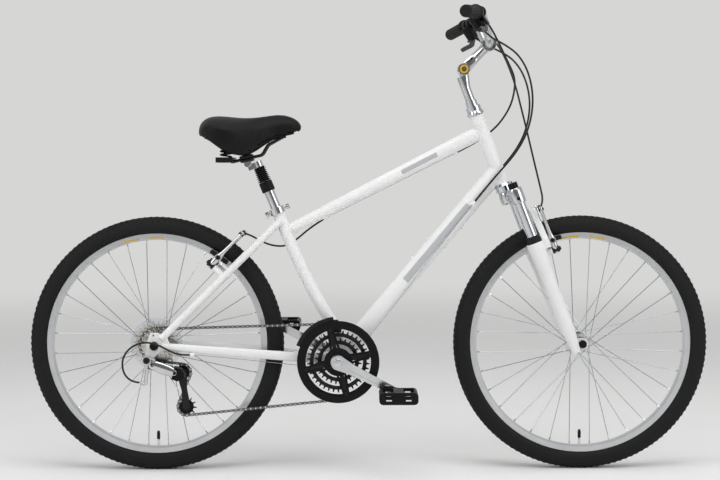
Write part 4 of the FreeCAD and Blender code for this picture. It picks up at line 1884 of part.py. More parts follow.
def saddle_clamp():
    """Clamp on the post's head that grips both rails."""
    place = Placement(Vector(-dims.clamp_setback, 0, dims.clamp_height), Rotation(ACROSS, -dims.clamp_slope))
    half = dims.cradle_length / 2
    halves = []
    for name, low, height in (("clamp_top", dims.clamp_gap / 2, "clamp_upper"),
                              ("clamp_foot", -dims.clamp_lower, "clamp_lower - clamp_gap / 2")):
        halves.append(solid("Box", name, Placement(Vector(-half, -dims.cradle_half_width, low), Rotation()),
                            Length="cradle_length", Width="2 * cradle_half_width", Height=height))
    bolt = rod("clamp_bolt", Vector(0, 0, -dims.clamp_lower), Vector(0, 0,
        dims.clamp_upper + dims.overrun), "clamp_bolt")
    whole = fuse("clamp_whole", halves + [bolt])
    whole.Placement = place
    sockets = [shaped("rail_socket", bent_tube(rail_points(side), dims.rail_radius + dims.running_fit,
                                               dims.rail_bend))
               for side in (1, -1)]
    start = dims.post_top + dims.boot_nut_height + dims.boot_height
    corner = Vector(-2 * dims.head_back, -2 * dims.cradle_half_width, start - dims.overrun)
    head = solid("Box", "head_room", Placement(SEAT.Rotation.multVec(corner), SEAT.Rotation),
                 Length="4 * head_back", Width="4 * cradle_half_width", Height="head_height + overrun")
    keep("saddle_clamp", cut("saddle_clamp_body", whole, fuse("clamp_cuts", sockets + [head])), SADDLE)


# Cables

# Routes as bare points, each list from the place that its cable follows; gear cables are for the right side.
# From the stem's pivot.
REAR_BRAKE_LEAD = [
    (73.9, -100, 75.8), (105.9, -60, 19.8), (127.9, -30, -18.2), (131.9, -5, -48.2), (123.9, 15, -91.2),
    (99.9, 28, -132.2), (69.9, 30, -162.2), (25.9, 12, -191.2)]
FRONT_BRAKE_LEAD = [
    (87.9, 100, 85.8), (113.9, 66, 34.8), (136.9, 40, -36.2), (149.9, 22, -95.2), (165.9, 9, -165.2)]
SHIFT_LEAD = [
    (97.9, -92, 55.8), (131.9, -74, 33.8), (155.9, -58, -0.2), (169.9, -45, -41.2), (174.9, -36, -83.2),
    (170.9, -30, -125.2), (159.9, -27, -164.2), (143.9, -26, -196.2), (120.9, -26, -229.2)]
# From the front axle.
FRONT_BRAKE_END = [(-117, 8, 465), (-101, 8, 400), (-96, -14, 365), (-106, -42, 350)]
# Along the top tube, to the left and up: from its front end and from its rear end.
TOP_TUBE_FRONT = (87, 8, -19.1)
TOP_TUBE_REAR = (107.2, 8, -15.7)
# Along the down tube from its front end, to the left and up.
DOWN_TUBE_RUN = [(30.5, -25, -3), (103.7, -23.5, -4.8), (140.3, -22.75, -5.7)]
# From the bottom bracket.
UNDER_BRACKET = [(16, -13, -26), (-14, -13, -24)]
SELECTOR_END = [(16, 9, -26), (-12, 4, -26), (-28, -6, -8), (-53, -26, 104)]
# From the top of the seat tube, and then in the stays' frame.
BRAKE_TAIL_BEND = [(92, 10, -48), (48, 20, -86), (21, 27, -101), (-15, 25, -98)]
BRAKE_TAIL_END = [(2.7, -10, 374.1), (26.7, 12, 369.7), (45.8, 42, 361.8)]
# From the rear axle.
CHAINSTAY_LEAD = [(108.5, -59.5, -24), (95, -63, -24)]
REAR_LOOP = [
    (95, -63, -24), (68, -70, -24), (42, -84, -13), (16, -93, 4), (-18, -99, 14), (-54, -100, 3),
    (-78, -98, -27), (-77, -95, -65), (-56, -91, -89), (-36, -88, -91)]


def near(anchor, points, sign=1):
    """Lays a list of places out from an anchor, on either side of the bicycle."""
    return [anchor + Vector(x, sign * y, z) for x, y, z in points]


def by_down_tube(sign):
    """The gear cables' run beside the down tube."""
    start, end = down_tube_ends()
    return [by_tube(start, end, along, sign * left, up) for along, left, up in DOWN_TUBE_RUN]


def rear_brake_route():
    """Rear brake's housing from the stem to its stop under the top tube."""
    front, rear = top_tube_ends()
    return near(stem_pivot(), REAR_BRAKE_LEAD) + [by_tube(front, rear, *TOP_TUBE_FRONT)]


def rear_brake_tail():
    """Rear brake's housing from its second stop to the brake arms."""
    front, rear = top_tube_ends()
    stays, _ = stay_frame()
    bends = [by_tube(rear, front, *TOP_TUBE_REAR)] + near(SEAT.Base, BRAKE_TAIL_BEND)
    return bends + [moved(Vector(*spot), stays) for spot in BRAKE_TAIL_END]


def shift_route(sign):
    """Gear cable's housing from the shifter to its stop on the down tube."""
    return near(stem_pivot(), SHIFT_LEAD, sign) + by_down_tube(sign)[:2]


def bare(points):
    """Starts a bare wire a running fit beyond the end of its housing."""
    step = (points[1] - points[0]).normalize() * dims.running_fit
    return [points[0] + step] + points[1:]


def cable(name, points, radius):
    """Cable along straight runs and tangent arcs, with its tightest bend and its volume against its length."""
    path, radii = bent_path(points)
    tube = bent_tube(points, radius)
    share = tube.Volume / (math.pi * radius * radius * path.Length)
    print("cable", name, "tightest bend", round(min(radii), 1) if radii else None, "volume share",
          round(share, 4))
    return shaped(name, tube)


def lever_exit(side):
    """Where a brake cable leaves its lever's barrel adjuster, and its heading there."""
    place = control_frame(side)
    end = Vector(-dims.control_clamp_width / 2 - dims.barrel_length_adjuster - dims.seat_gap,
                 dims.lever_pivot_reach, 0)
    return [moved(end, place), moved(end - Vector(dims.cable_lead, 0, 0), place)]


def shifter_exit(side):
    """Where a gear cable leaves its shifter's barrel adjuster, and its heading there."""
    place = control_frame(side)
    _, end, aim = pod_adjuster(side)
    return [moved(end + aim * dims.seat_gap, place), moved(end + aim * dims.cable_lead, place)]


def cables():
    """Brake and gear cables: the free ones at the handlebar and the held ones along the frame."""
    housing, wire = dims.housing_radius, dims.wire_radius
    brake_lead = rear_brake_route()
    front_end = near(FRONT_AXLE, FRONT_BRAKE_END)
    front_lead = near(stem_pivot(), FRONT_BRAKE_LEAD) + front_end
    free = [
        cable("rear_brake_housing", lever_exit(-1) + brake_lead, housing),
        cable("front_brake_housing", lever_exit(1) + front_lead, housing),
        cable("front_brake_wire", [front_end[-1], near(FRONT_AXLE, FRONT_BRAKE_END, -1)[-1]], wire),
    ]
    for side in (-1, 1):
        free.append(cable(f"shift_housing_{side}", shifter_exit(side) + shift_route(-side), housing))
    keep("handlebar_cables", group("free_cables", free))
    tail = rear_brake_tail()
    under = by_down_tube(1)[1:] + near(BOTTOM_BRACKET, UNDER_BRACKET) + near(REAR_AXLE, CHAINSTAY_LEAD)
    selector = by_down_tube(-1)[1:] + near(BOTTOM_BRACKET, SELECTOR_END)
    held = [
        cable("rear_brake_wire", bare([brake_lead[-1], tail[0]]), wire),
        cable("rear_brake_tail", tail, housing),
        cable("rear_link_wire", [tail[-1], Vector(tail[-1].x, -tail[-1].y, tail[-1].z)], wire),
        cable("rear_gear_wire", bare(under), wire),
        cable("front_gear_wire", bare(selector), wire),
        cable("rear_gear_loop", near(REAR_AXLE, REAR_LOOP), housing),
    ]
    keep("frame_cables", group("held_cables", held))


def build():
    """Makes every sub-part in turn."""
    wheels()
    frame()
    fork_crown()
    stanchions()
    fork_lowers()
    stem()
    handlebar()
    controls()
    rim_brakes()
    chain()
    chainrings()
    cassette()
    cranks()
    chain_guard()
    for word, side in (("right", -1), ("left", 1)):
        pedal(f"{word}_pedal", side)
    rear_derailleur()
    front_derailleur()
    seat_post()
    saddle()
    cables()


def write():
    """Checks every object and writes each sub-part to its own file."""
    doc.recompute()
    failed = [thing.Name for thing in doc.Objects if "Invalid" in thing.State or "Error" in thing.State]
    failed += [piece.Label for piece in PIECES if piece.Shape.isNull() or not piece.Shape.isValid()]
    if failed:
        raise SystemExit(f"no valid shape: {failed}")
    os.makedirs("parts", exist_ok=True)
    for piece in PIECES:
        piece.Shape.exportStep(f"parts/{piece.Label}.step")
        print(piece.Label, len(piece.Shape.Solids), "solids", round(piece.Shape.Volume / 1000, 2), "cm3")


build()
write()
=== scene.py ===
"""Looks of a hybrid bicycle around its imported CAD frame, in metres."""

import logging
import math
from collections.abc import Sequence
from dataclasses import dataclass, field, replace
from enum import Enum

import bmesh
import bpy
from mathutils import Matrix, Vector


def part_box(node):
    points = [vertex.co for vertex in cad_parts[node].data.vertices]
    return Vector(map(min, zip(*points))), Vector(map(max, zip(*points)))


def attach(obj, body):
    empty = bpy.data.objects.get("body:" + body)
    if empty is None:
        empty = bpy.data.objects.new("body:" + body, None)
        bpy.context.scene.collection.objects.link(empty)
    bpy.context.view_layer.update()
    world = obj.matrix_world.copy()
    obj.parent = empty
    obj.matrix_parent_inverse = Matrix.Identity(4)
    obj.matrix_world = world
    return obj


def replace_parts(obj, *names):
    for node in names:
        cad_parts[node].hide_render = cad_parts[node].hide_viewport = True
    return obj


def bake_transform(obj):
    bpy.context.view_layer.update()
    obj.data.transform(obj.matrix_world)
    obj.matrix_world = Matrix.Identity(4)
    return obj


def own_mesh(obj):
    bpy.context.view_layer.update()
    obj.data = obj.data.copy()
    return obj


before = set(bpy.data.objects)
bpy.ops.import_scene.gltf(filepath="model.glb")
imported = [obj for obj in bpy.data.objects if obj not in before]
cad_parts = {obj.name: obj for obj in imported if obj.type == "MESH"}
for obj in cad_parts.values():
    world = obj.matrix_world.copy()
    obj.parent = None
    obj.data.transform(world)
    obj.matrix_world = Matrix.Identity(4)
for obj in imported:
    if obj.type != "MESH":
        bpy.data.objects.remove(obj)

log = logging.getLogger("hybrid_bicycle")

Tree = bpy.types.NodeTree
Socket = bpy.types.NodeSocket
Shape = bmesh.types.BMesh
Piece = bpy.types.Object
Triple = tuple[float, float, float]
Route = tuple[Triple, ...]

# Sockets of a Mix node that carry colours
COLOUR_A, COLOUR_B, COLOUR_OUT = 6, 7, 2
# Spacing of a wave texture's rings at a scale of one
RING_SPACING = 2 * math.pi / 20
# Share of a brushed streak's length that its width is
STREAK = 0.08

# One millimetre in metres
MM = 0.001
# Sign of Y and word of each side
SIDES = ((1, "left"), (-1, "right"))

# Places and directions of the CAD solids, in metres
UP = Vector((0, 0, 1))
ACROSS = Vector((0, 1, 0))
REAR_AXLE = Vector((-0.546, 0, 0.327))
FRONT_AXLE = Vector((0.546, 0, 0.327))
CRANK_AXIS = Vector((-0.078, 0, 0.284))
HEAD_ANGLE = math.radians(69)
STEER_UP = Vector((-math.cos(HEAD_ANGLE), 0, math.sin(HEAD_ANGLE)))
STEER_AHEAD = Vector((math.sin(HEAD_ANGLE), 0, math.cos(HEAD_ANGLE)))
STEER_FOOT = FRONT_AXLE - STEER_AHEAD * 0.040
SEAT_ANGLE = math.radians(67.5)
SEAT_UP = Vector((-math.cos(SEAT_ANGLE), 0, math.sin(SEAT_ANGLE)))
SEAT_TOP = Vector((-0.238, 0, 0.676))
STEM_PIVOT = Vector((0.24607, 0, 1.03022))
BAR_MIDDLE = Vector((0.31041, 0, 1.09457))
STAY_UP = Vector((0.710887, 0, 0.703306))
STAY_AHEAD = Vector((-0.703306, 0, 0.710887))


# Finishes


def linear(colour: str) -> tuple[float, float, float, float]:
    """Turns an sRGB hex colour to linear RGBA.

    Args:
        colour: Six hex digits after a hash sign.

    Returns:
        Linear red, green and blue, and an alpha of one.
    """
    shares = [int(colour[start:start + 2], 16) / 255 for start in (1, 3, 5)]
    red, green, blue = (s / 12.92 if s <= 0.04045 else ((s + 0.055) / 1.055) ** 2.4 for s in shares)
    return red, green, blue, 1.0


def add_node(tree: Tree, kind: str, inputs: dict[str | int, object] | None = None,
             **settings: object) -> bpy.types.Node:
    """Adds one node with its settings, and sets or links its inputs.

    Args:
        tree: The material's node tree.
        kind: Blender's name of the node, without its leading ShaderNode.
        inputs: Values, or sockets to link from, by the input's name or number.
        settings: The node's own properties.

    Returns:
        The new node.
    """
    node = tree.nodes.new(f"ShaderNode{kind}")
    for name, setting in settings.items():
        setattr(node, name, setting)
    for name, given in (inputs or {}).items():
        if isinstance(given, Socket):
            tree.links.new(given, node.inputs[name])
        else:
            node.inputs[name].default_value = given
    return node


class Grain(Enum):
    """How a surface was made, which sets the pattern of its fine relief."""

    SPRAYED = "sprayed"
    MOULDED = "moulded"
    PEBBLED = "pebbled"
    BRUSHED = "brushed"
    TURNED = "turned"


@dataclass(frozen=True)
class Panel:
    """A plain painted panel along a tube.

    Attributes:
        start: Point at one end of the panel, on the tube's middle line.
        end: Point at its other end.
        half_height: Half of the panel's height.
    """

    start: Triple
    end: Triple
    half_height: float

    def mask(self, tree: Tree, place: Socket) -> Socket:
        """Tells where the panel is.

        Args:
            tree: The material's node tree.
            place: Object coordinates.

        Returns:
            The socket that gives one inside the panel and zero outside.
        """
        first, last = Vector(self.start), Vector(self.end)
        run = last - first
        slope = math.atan2(run.z, run.x)
        lined_up = add_node(tree, "Mapping", {
            "Vector": place, "Location": (first + last) / 2, "Rotation": (0, -slope, 0)}, vector_type="TEXTURE")
        axes = add_node(tree, "SeparateXYZ", {0: lined_up.outputs[0]})
        inside = []
        for axis, limit in (("X", run.length / 2), ("Z", self.half_height)):
            away = add_node(tree, "Math", {0: axes.outputs[axis]}, operation="ABSOLUTE")
            near = add_node(tree, "Math", {0: away.outputs[0], 1: limit}, operation="LESS_THAN")
            inside.append(near.outputs[0])
        return add_node(tree, "Math", {0: inside[0], 1: inside[1]}, operation="MULTIPLY").outputs[0]


@dataclass(frozen=True)
class Finish:
    """A surface finish: its colours, gloss and the relief that its making leaves.

    Attributes:
        name: What the material is and how it was made.
        slot: The record's material slot; not used.
        colour: Main colour, sRGB hex.
        shade: Colour of its darker patches, sRGB hex.
        grain: Kind of fine relief.
        grain_mm: Size of one grain or the spacing of its lines.
        relief_mm: Height of the relief.
        patch_mm: Size of the patches where colour and gloss vary.
        roughness: Lowest and highest roughness.
        metallic: One for bare metal.
        ior: Index of refraction of paint, plastic or rubber.
        specular: Level of the mirror reflection; half is plain, less is for dull open-pored skins.
        clear: How far light passes through.
        coat: Weight of a clear coat.
        sheen: Weight of a soft sheen.
        centre: Middle of turned rings.
        panels: Plain panels painted over it.
        stripe: Colour of the panels, sRGB hex.
    """

    name: str
    slot: str
    colour: str
    shade: str
    grain: Grain
    grain_mm: float
    relief_mm: float
    patch_mm: float
    roughness: tuple[float, float]
    metallic: float = 0.0
    ior: float = 1.5
    specular: float = 0.5
    clear: float = 0.0
    coat: float = 0.0
    sheen: float = 0.0
    centre: Triple = (0.0, 0.0, 0.0)
    panels: tuple[Panel, ...] = ()
    stripe: str = "#B7B9BC"

    def colours(self, tree: Tree, place: Socket, patches: Socket) -> Socket:
        """Mixes the two colours by the patches, and lays the panels over them.

        Args:
            tree: The material's node tree.
            place: Object coordinates.
            patches: Noise of the patches, zero to one.

        Returns:
            The socket that gives the surface's colour.
        """
        mix = add_node(tree, "Mix", {0: patches, COLOUR_A: linear(self.colour), COLOUR_B: linear(self.shade)},
                       data_type="RGBA")
        for panel in self.panels:
            mix = add_node(tree, "Mix", {0: panel.mask(tree, place), COLOUR_A: mix.outputs[COLOUR_OUT],
                                         COLOUR_B: linear(self.stripe)}, data_type="RGBA")
        return mix.outputs[COLOUR_OUT]

    def relief(self, tree: Tree, place: Socket) -> Socket:
        """Draws the fine relief of the surface.

        Args:
            tree: The material's node tree.
            place: Object coordinates.

        Returns:
            The socket that gives the relief's height, zero to one.
        """
        scale = 1 / (self.grain_mm * MM)
        if self.grain is Grain.PEBBLED:
            cells = add_node(tree, "TexVoronoi", {"Vector": place, "Scale": scale}, feature="SMOOTH_F1")
            return cells.outputs["Distance"]
        if self.grain is Grain.TURNED:
            shift = add_node(tree, "Mapping", {"Vector": place, "Location": tuple(-x for x in self.centre)})
            rings = add_node(tree, "TexWave", {"Vector": shift.outputs[0], "Scale": RING_SPACING * scale,
                                               "Distortion": 0.6, "Detail": 1.0}, wave_type="RINGS",
                             rings_direction="Y")
            return rings.outputs["Fac"]
        stretch = (STREAK, 1, STREAK) if self.grain is Grain.BRUSHED else (1, 1, 1)
        along = add_node(tree, "Mapping", {"Vector": place, "Scale": stretch})
        detail = 2.0 if self.grain is Grain.MOULDED else 0.5
        noise = add_node(tree, "TexNoise", {"Vector": along.outputs[0], "Scale": scale, "Detail": detail})
        return noise.outputs["Fac"]

    def material(self) -> bpy.types.Material:
        """Gives the finish's material, made the first time it is asked for.

        Returns:
            The material.
        """
        found = bpy.data.materials.get(self.name)
        return found if found else self.make()

    def make(self) -> bpy.types.Material:
        """Builds the node material.

        Returns:
            The new material.
        """
        made = bpy.data.materials.new(self.name)
        made.use_nodes = True
        tree = made.node_tree
        tree.nodes.clear()
        place = add_node(tree, "TexCoord").outputs["Object"]
        patches = add_node(tree, "TexNoise", {"Vector": place, "Scale": 1 / (self.patch_mm * MM), "Detail": 3.0})
        low, high = self.roughness
        gloss = add_node(tree, "MapRange", {"Value": patches.outputs["Fac"], "To Min": low, "To Max": high})
        bump = add_node(tree, "Bump", {"Height": self.relief(tree, place), "Distance": self.relief_mm * MM,
                                       "Strength": 1.0})
        surface = add_node(tree, "BsdfPrincipled", {
            "Base Color": self.colours(tree, place, patches.outputs["Fac"]), "Roughness": gloss.outputs[0],
            "Normal": bump.outputs[0], "Metallic": self.metallic, "IOR": self.ior,
            "Specular IOR Level": self.specular, "Transmission Weight": self.clear, "Coat Weight": self.coat,
            "Coat Roughness": 0.05, "Sheen Weight": self.sheen})
        add_node(tree, "OutputMaterial", {"Surface": surface.outputs[0]})
        return made


# Grains as fine as the real ones wouldn't show, so brushing, turning and moulding are drawn coarser than they are.

# Sprayed enamel: white, with an even satin shine and the faint orange peel of spray.
FRAME_PAINT = Finish(
    "white_sprayed_enamel", "frame_paint", "#F0F0EE", "#E6E7E8", Grain.SPRAYED, 12, 0.0005, 120, (0.44, 0.52),
    coat=0.06, panels=(Panel((0.095, 0, 0.488), (0.259, 0, 0.682), 0.009),
                       Panel((0.086, 0, 0.7665), (0.177, 0, 0.8126), 0.006)))
# The same enamel on the cast fork legs, which shows a little more peel.
FORK_PAINT = Finish("white_cast_enamel", "fork_paint", "#EFEFED", "#E3E4E6", Grain.SPRAYED, 12, 0.001, 90,
                    (0.44, 0.52), coat=0.06)
# Buffed forged aluminium: bright, with soft streaks along the buffing.
POLISHED_ALLOY = Finish("buffed_aluminium", "polished_alloy", "#DADBDC", "#B9BBBD", Grain.BRUSHED, 0.6, 0.004, 35,
                        (0.07, 0.17), metallic=1.0)
# Anodised rim: a matt silver skin with fine lathe lines round the brake track.
REAR_RIM_ALLOY = Finish("turned_rear_rim_aluminium", "rim_alloy", "#DEDFE1", "#CBCDCF", Grain.TURNED, 1.2, 0.02, 60,
                        (0.32, 0.44), metallic=1.0, centre=tuple(REAR_AXLE))
FRONT_RIM_ALLOY = replace(REAR_RIM_ALLOY, name="turned_front_rim_aluminium", centre=tuple(FRONT_AXLE))
# Tumbled and lacquered crown: pale bright grey with a fine satin speckle.
CROWN_ALLOY = Finish("tumbled_aluminium", "crown_alloy", "#D3D5D7", "#BCBFC2", Grain.MOULDED, 0.8, 0.01, 30,
                     (0.13, 0.24), metallic=1.0)
# Hard chrome on ground steel: mirror bright with hardly any texture.
BRIGHT_STEEL = Finish("chromed_steel", "bright_steel", "#D5D8DB", "#C2C5C9", Grain.BRUSHED, 0.8, 0.002, 50,
                      (0.07, 0.14), metallic=1.0)
# Drawn stainless wire: bright with drawing lines along it.
SPOKE_STEEL = Finish("drawn_stainless_wire", "spoke_steel", "#C3C5C7", "#A2A5A8", Grain.BRUSHED, 0.7, 0.004, 25,
                     (0.2, 0.34), metallic=1.0)
# Oiled spring steel of chain and cogs: grey with brown film in patches.
DRIVE_STEEL = Finish("oiled_stamped_steel", "drive_steel", "#8B8A88", "#4E4A45", Grain.BRUSHED, 0.9, 0.01, 9,
                     (0.24, 0.42), metallic=1.0)
# Nickel-plated cogs: pale steel with a warm tinge and stamping lines.
PLATED_STEEL = Finish("nickel_plated_steel", "plated_steel", "#E4E2DE", "#C3C0BA", Grain.BRUSHED, 0.8, 0.008, 14,
                      (0.2, 0.32), metallic=1.0)
# Black powder coat on steel: satin, slightly grainy.
BLACK_STEEL = Finish("black_powder_coat", "black_steel", "#111113", "#0B0B0C", Grain.MOULDED, 1.1, 0.03, 40,
                     (0.34, 0.5), specular=0.35)
# Glass-filled nylon from a spark-eroded mould: black with an even fine texture.
BLACK_PLASTIC = Finish("moulded_black_nylon", "black_plastic", "#111112", "#0B0B0C", Grain.MOULDED, 0.9, 0.05, 30,
                       (0.38, 0.55), ior=1.53, specular=0.16)
# Moulded polycarbonate disc behind the cogs: glossy and nearly clear. So thin a sheet hardly bends the light, so
# its IOR is set low.
CLEAR_PLASTIC = Finish("clear_polycarbonate", "clear_plastic", "#F2F5F6", "#E6EBEE", Grain.SPRAYED, 3, 0.01, 40,
                       (0.04, 0.1), ior=1.2, clear=0.95)
# Carbon-black tyre rubber: dull, with the rings of its mould and a dusty bloom; rings drawn coarser than they are.
REAR_TYRE_RUBBER = Finish("rear_tyre_compound", "tyre_rubber", "#0D0D0E", "#161617", Grain.TURNED, 3.5, 0.18, 55,
                          (0.6, 0.8), ior=1.52, specular=0.25, centre=tuple(REAR_AXLE))
FRONT_TYRE_RUBBER = replace(REAR_TYRE_RUBBER, name="front_tyre_compound", centre=tuple(FRONT_AXLE))
# The same rubber on the shoulder blocks, which have no rings and are a little duller.
TREAD_RUBBER = Finish("tread_compound", "tyre_rubber", "#0D0D0E", "#141415", Grain.MOULDED, 1.5, 0.06, 40,
                      (0.65, 0.85), ior=1.52, specular=0.25)
# Moulded thermoplastic rubber: matt black with a soft bloom.
SOFT_RUBBER = Finish("moulded_black_rubber", "soft_rubber", "#0F0F10", "#161618", Grain.MOULDED, 1.2, 0.05, 25,
                     (0.55, 0.75), ior=1.52, specular=0.25, sheen=0.03)
# Embossed PVC cover: black, with a leather-like pebble that catches a soft highlight.
SADDLE_VINYL = Finish("embossed_black_vinyl", "saddle_vinyl", "#0E0E0F", "#141416", Grain.PEBBLED, 2.2, 0.16, 60,
                      (0.42, 0.56), ior=1.53, specular=0.14, sheen=0.01)
# Extruded PVC housing: smooth black with a slight wave of the wire under it.
CABLE_COVER = Finish("extruded_black_housing", "cable_cover", "#0D0D0E", "#131314", Grain.SPRAYED, 3, 0.03, 20,
                     (0.28, 0.4), ior=1.53, specular=0.35)
# Amber acrylic with a prism grid behind it; the prisms are drawn coarser than they are.
AMBER = Finish("amber_prism_acrylic", "clear_plastic", "#E07A12", "#B85A08", Grain.PEBBLED, 3, 0.4, 20, (0.1, 0.2),
               ior=1.49, coat=0.5)
# Anodised yellow ring and printed strips: clear colour with a satin skin.
YELLOW = Finish("satin_yellow_film", "clear_plastic", "#D9B21C", "#C79E12", Grain.SPRAYED, 1.5, 0.01, 15,
                (0.3, 0.42))

NODE_FINISHES: dict[Finish, tuple[str, ...]] = {
    FRAME_PAINT: ("front_triangle", "rear_triangle"),
    FORK_PAINT: ("fork_lowers",),
    POLISHED_ALLOY: (
        "stem_quill", "stem_arm", "handlebar", "front_hub", "rear_hub", "cranks", "seat_post", "seat_post_plunger",
        "front_brake_arm_right", "front_brake_arm_left", "rear_brake_arm_right", "rear_brake_arm_left",
        "derailleur_knuckle", "derailleur_outer_link", "seat_collar", "seat_quick_release", "saddle_clamp"),
    REAR_RIM_ALLOY: ("rear_rim",),
    FRONT_RIM_ALLOY: ("front_rim",),
    CROWN_ALLOY: ("fork_crown",),
    BRIGHT_STEEL: ("headset", "rear_axle", "front_axle", "fork_stanchions"),
    SPOKE_STEEL: ("front_spokes", "rear_spokes"),
    DRIVE_STEEL: ("chain",),
    PLATED_STEEL: ("cassette",),
    BLACK_STEEL: (
        "bottom_bracket", "right_brake_lever", "left_brake_lever", "derailleur_inner_link", "derailleur_cage",
        "front_derailleur_clamp", "front_derailleur_cage", "saddle_rails", "chainrings"),
    BLACK_PLASTIC: (
        "preload_knobs", "control_brackets", "right_shift_lever", "left_shift_lever", "chain_guard", "right_pedal",
        "left_pedal", "derailleur_lower_knuckle", "guide_pulley", "tension_pulley", "saddle_base"),
    CLEAR_PLASTIC: ("spoke_protector",),
    REAR_TYRE_RUBBER: ("rear_tyre",),
    FRONT_TYRE_RUBBER: ("front_tyre",),
    SOFT_RUBBER: ("fork_seals", "grips", "seat_post_boot"),
    SADDLE_VINYL: ("saddle_cover",),
    CABLE_COVER: ("handlebar_cables", "frame_cables"),
}


def dress_nodes() -> None:
    """Gives every carried-over CAD node its finish."""
    for finish, names in NODE_FINISHES.items():
        for name in names:
            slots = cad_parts[name].data.materials
            slots.clear()
            slots.append(finish.material())
            log.info("dressed %s in %s", name, finish.name)


# Making pieces


def standing(foot: Vector, heading: Vector) -> Matrix:
    """Gives the place of a piece whose own Z axis points along a heading.

    Args:
        foot: Where the piece's origin goes.
        heading: Direction of its Z axis.

    Returns:
        The matrix that moves the piece there.
    """
    turn = UP.rotation_difference(heading.normalized())
    return Matrix.Translation(foot) @ turn.to_matrix().to_4x4()


def turned(profile: list[tuple[float, float]], steps: int = 40) -> Shape:
    """Turns a profile about the Z axis.

    Args:
        profile: Radius and height of each corner, in millimetres; an open line from axis to axis, or a closed ring.
        steps: Facets round the axis.

    Returns:
        The turned shape.
    """
    shape = bmesh.new()
    corners = [shape.verts.new((radius * MM, 0, height * MM)) for radius, height in profile]
    closed = profile[0][0] > 0 and profile[-1][0] > 0
    edges = [shape.edges.new(pair) for pair in zip(corners, corners[1:])]
    if closed:
        edges.append(shape.edges.new((corners[-1], corners[0])))
    bmesh.ops.spin(shape, geom=corners + edges, axis=(0, 0, 1), cent=(0, 0, 0), angle=2 * math.pi, steps=steps,
                   use_merge=True)
    bmesh.ops.remove_doubles(shape, verts=shape.verts, dist=0.002 * MM)
    bmesh.ops.recalc_face_normals(shape, faces=shape.faces)
    return shape


def block(size: Triple, bevel: float, segments: int = 2) -> Shape:
    """Makes a block with rounded edges about the origin.

    Args:
        size: Its three sides, in millimetres.
        bevel: Radius of its edges, in millimetres.
        segments: Facets of each rounded edge.

    Returns:
        The block.
    """
    shape = bmesh.new()
    bmesh.ops.create_cube(shape, size=1.0)
    bmesh.ops.scale(shape, vec=[side * MM for side in size], verts=shape.verts)
    bmesh.ops.bevel(shape, geom=list(shape.edges), offset=bevel * MM, affect="EDGES", segments=segments, profile=0.5,
                    material=-1)
    return shape


def bar(start: Vector, end: Vector, wide: Vector, stations: list[Triple],
        steps: int = 20) -> Shape:
    """Makes a rounded bar of oval sections between two points.

    Args:
        start: Middle of the bar's first end.
        end: Middle of its other end.
        wide: Direction of its width, square to its run.
        stations: Share of the run, half width and half depth of each section, in millimetres.
        steps: Corners of a section.

    Returns:
        The bar.
    """
    shape = bmesh.new()
    deep = (end - start).normalized().cross(wide)
    turn = Matrix((wide, deep, wide.cross(deep))).transposed().to_4x4()
    last = []
    for index, (share, half_wide, half_deep) in enumerate(stations):
        oval = Matrix.Diagonal((half_wide * MM, half_deep * MM, 1, 1))
        place = Matrix.Translation(start.lerp(end, share)) @ turn @ oval
        capped = index in (0, len(stations) - 1)
        corners = bmesh.ops.create_circle(shape, cap_ends=capped, segments=steps, radius=1, matrix=place)["verts"]
        ring = list({edge for corner in corners for edge in corner.link_edges})
        if last:
            bmesh.ops.bridge_loops(shape, edges=last + ring)
        last = ring
    bmesh.ops.recalc_face_normals(shape, faces=shape.faces)
    return shape


def join(whole: Shape, part: Shape, place: Matrix | None = None) -> None:
    """Moves a shape into another, which uses it up.

    Args:
        whole: The shape that grows.
        part: The shape that goes into it.
        place: Where it goes, if not where it is.
    """
    add_copy(whole, part, place or Matrix.Identity(4))
    part.free()


def add_copy(whole: Shape, part: Shape, place: Matrix) -> None:
    """Adds a copy of one shape to another.

    Args:
        whole: The shape that grows.
        part: The shape that is copied.
        place: Where the copy goes.
    """
    copy = bpy.data.meshes.new("copy")
    part.to_mesh(copy)
    copy.transform(place)
    whole.from_mesh(copy)
    bpy.data.meshes.remove(copy)


def show(name: str, data: bpy.types.ID) -> Piece:
    """Puts a mesh, curve, lamp or camera in the scene as an object at the origin.

    Args:
        name: The object's name.
        data: What it shows.

    Returns:
        The object.
    """
    piece = bpy.data.objects.new(name, data)
    bpy.context.scene.collection.objects.link(piece)
    return piece


def piece_of(shape: Shape, name: str, body: str, finish: Finish, place: Matrix | None = None,
             sharp: float = 35) -> Piece:
    """Makes a finished piece from a shape.

    Args:
        shape: The shape, which is used up.
        name: The piece's name.
        body: CAD body that it rides on.
        finish: Its finish.
        place: Where it goes, if not where it is.
        sharp: Angle in degrees past which an edge stays sharp.

    Returns:
        The piece.
    """
    mesh = bpy.data.meshes.new(name)
    shape.to_mesh(mesh)
    shape.free()
    if place is not None:
        mesh.transform(place)
    mesh.polygons.foreach_set("use_smooth", [True] * len(mesh.polygons))
    mesh.set_sharp_from_angle(angle=math.radians(sharp))
    mesh.materials.append(finish.material())
    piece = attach(show(name, mesh), body)
    log.info("%s rides on %s with %d faces", name, body, len(mesh.polygons))
    return piece


def socket_bolt(radius: float, foot: float, top: float, chamfer: float, socket: tuple[float, float],
                steps: int = 20) -> Shape:
    """Makes a bolt's head with a socket in it, along the Z axis, in millimetres.

    Args:
        radius: Radius of the head.
        foot: Height of its underside.
        top: Height of its top.
        chamfer: Size of its chamfer.
        socket: Radius of the socket and height of its floor.
        steps: Facets round the axis.

    Returns:
        The head.
    """
    hole, floor = socket
    return turned([(0, foot), (radius, foot), (radius, top - chamfer), (radius - chamfer, top), (hole, top),
                   (hole, floor), (0, floor)], steps)


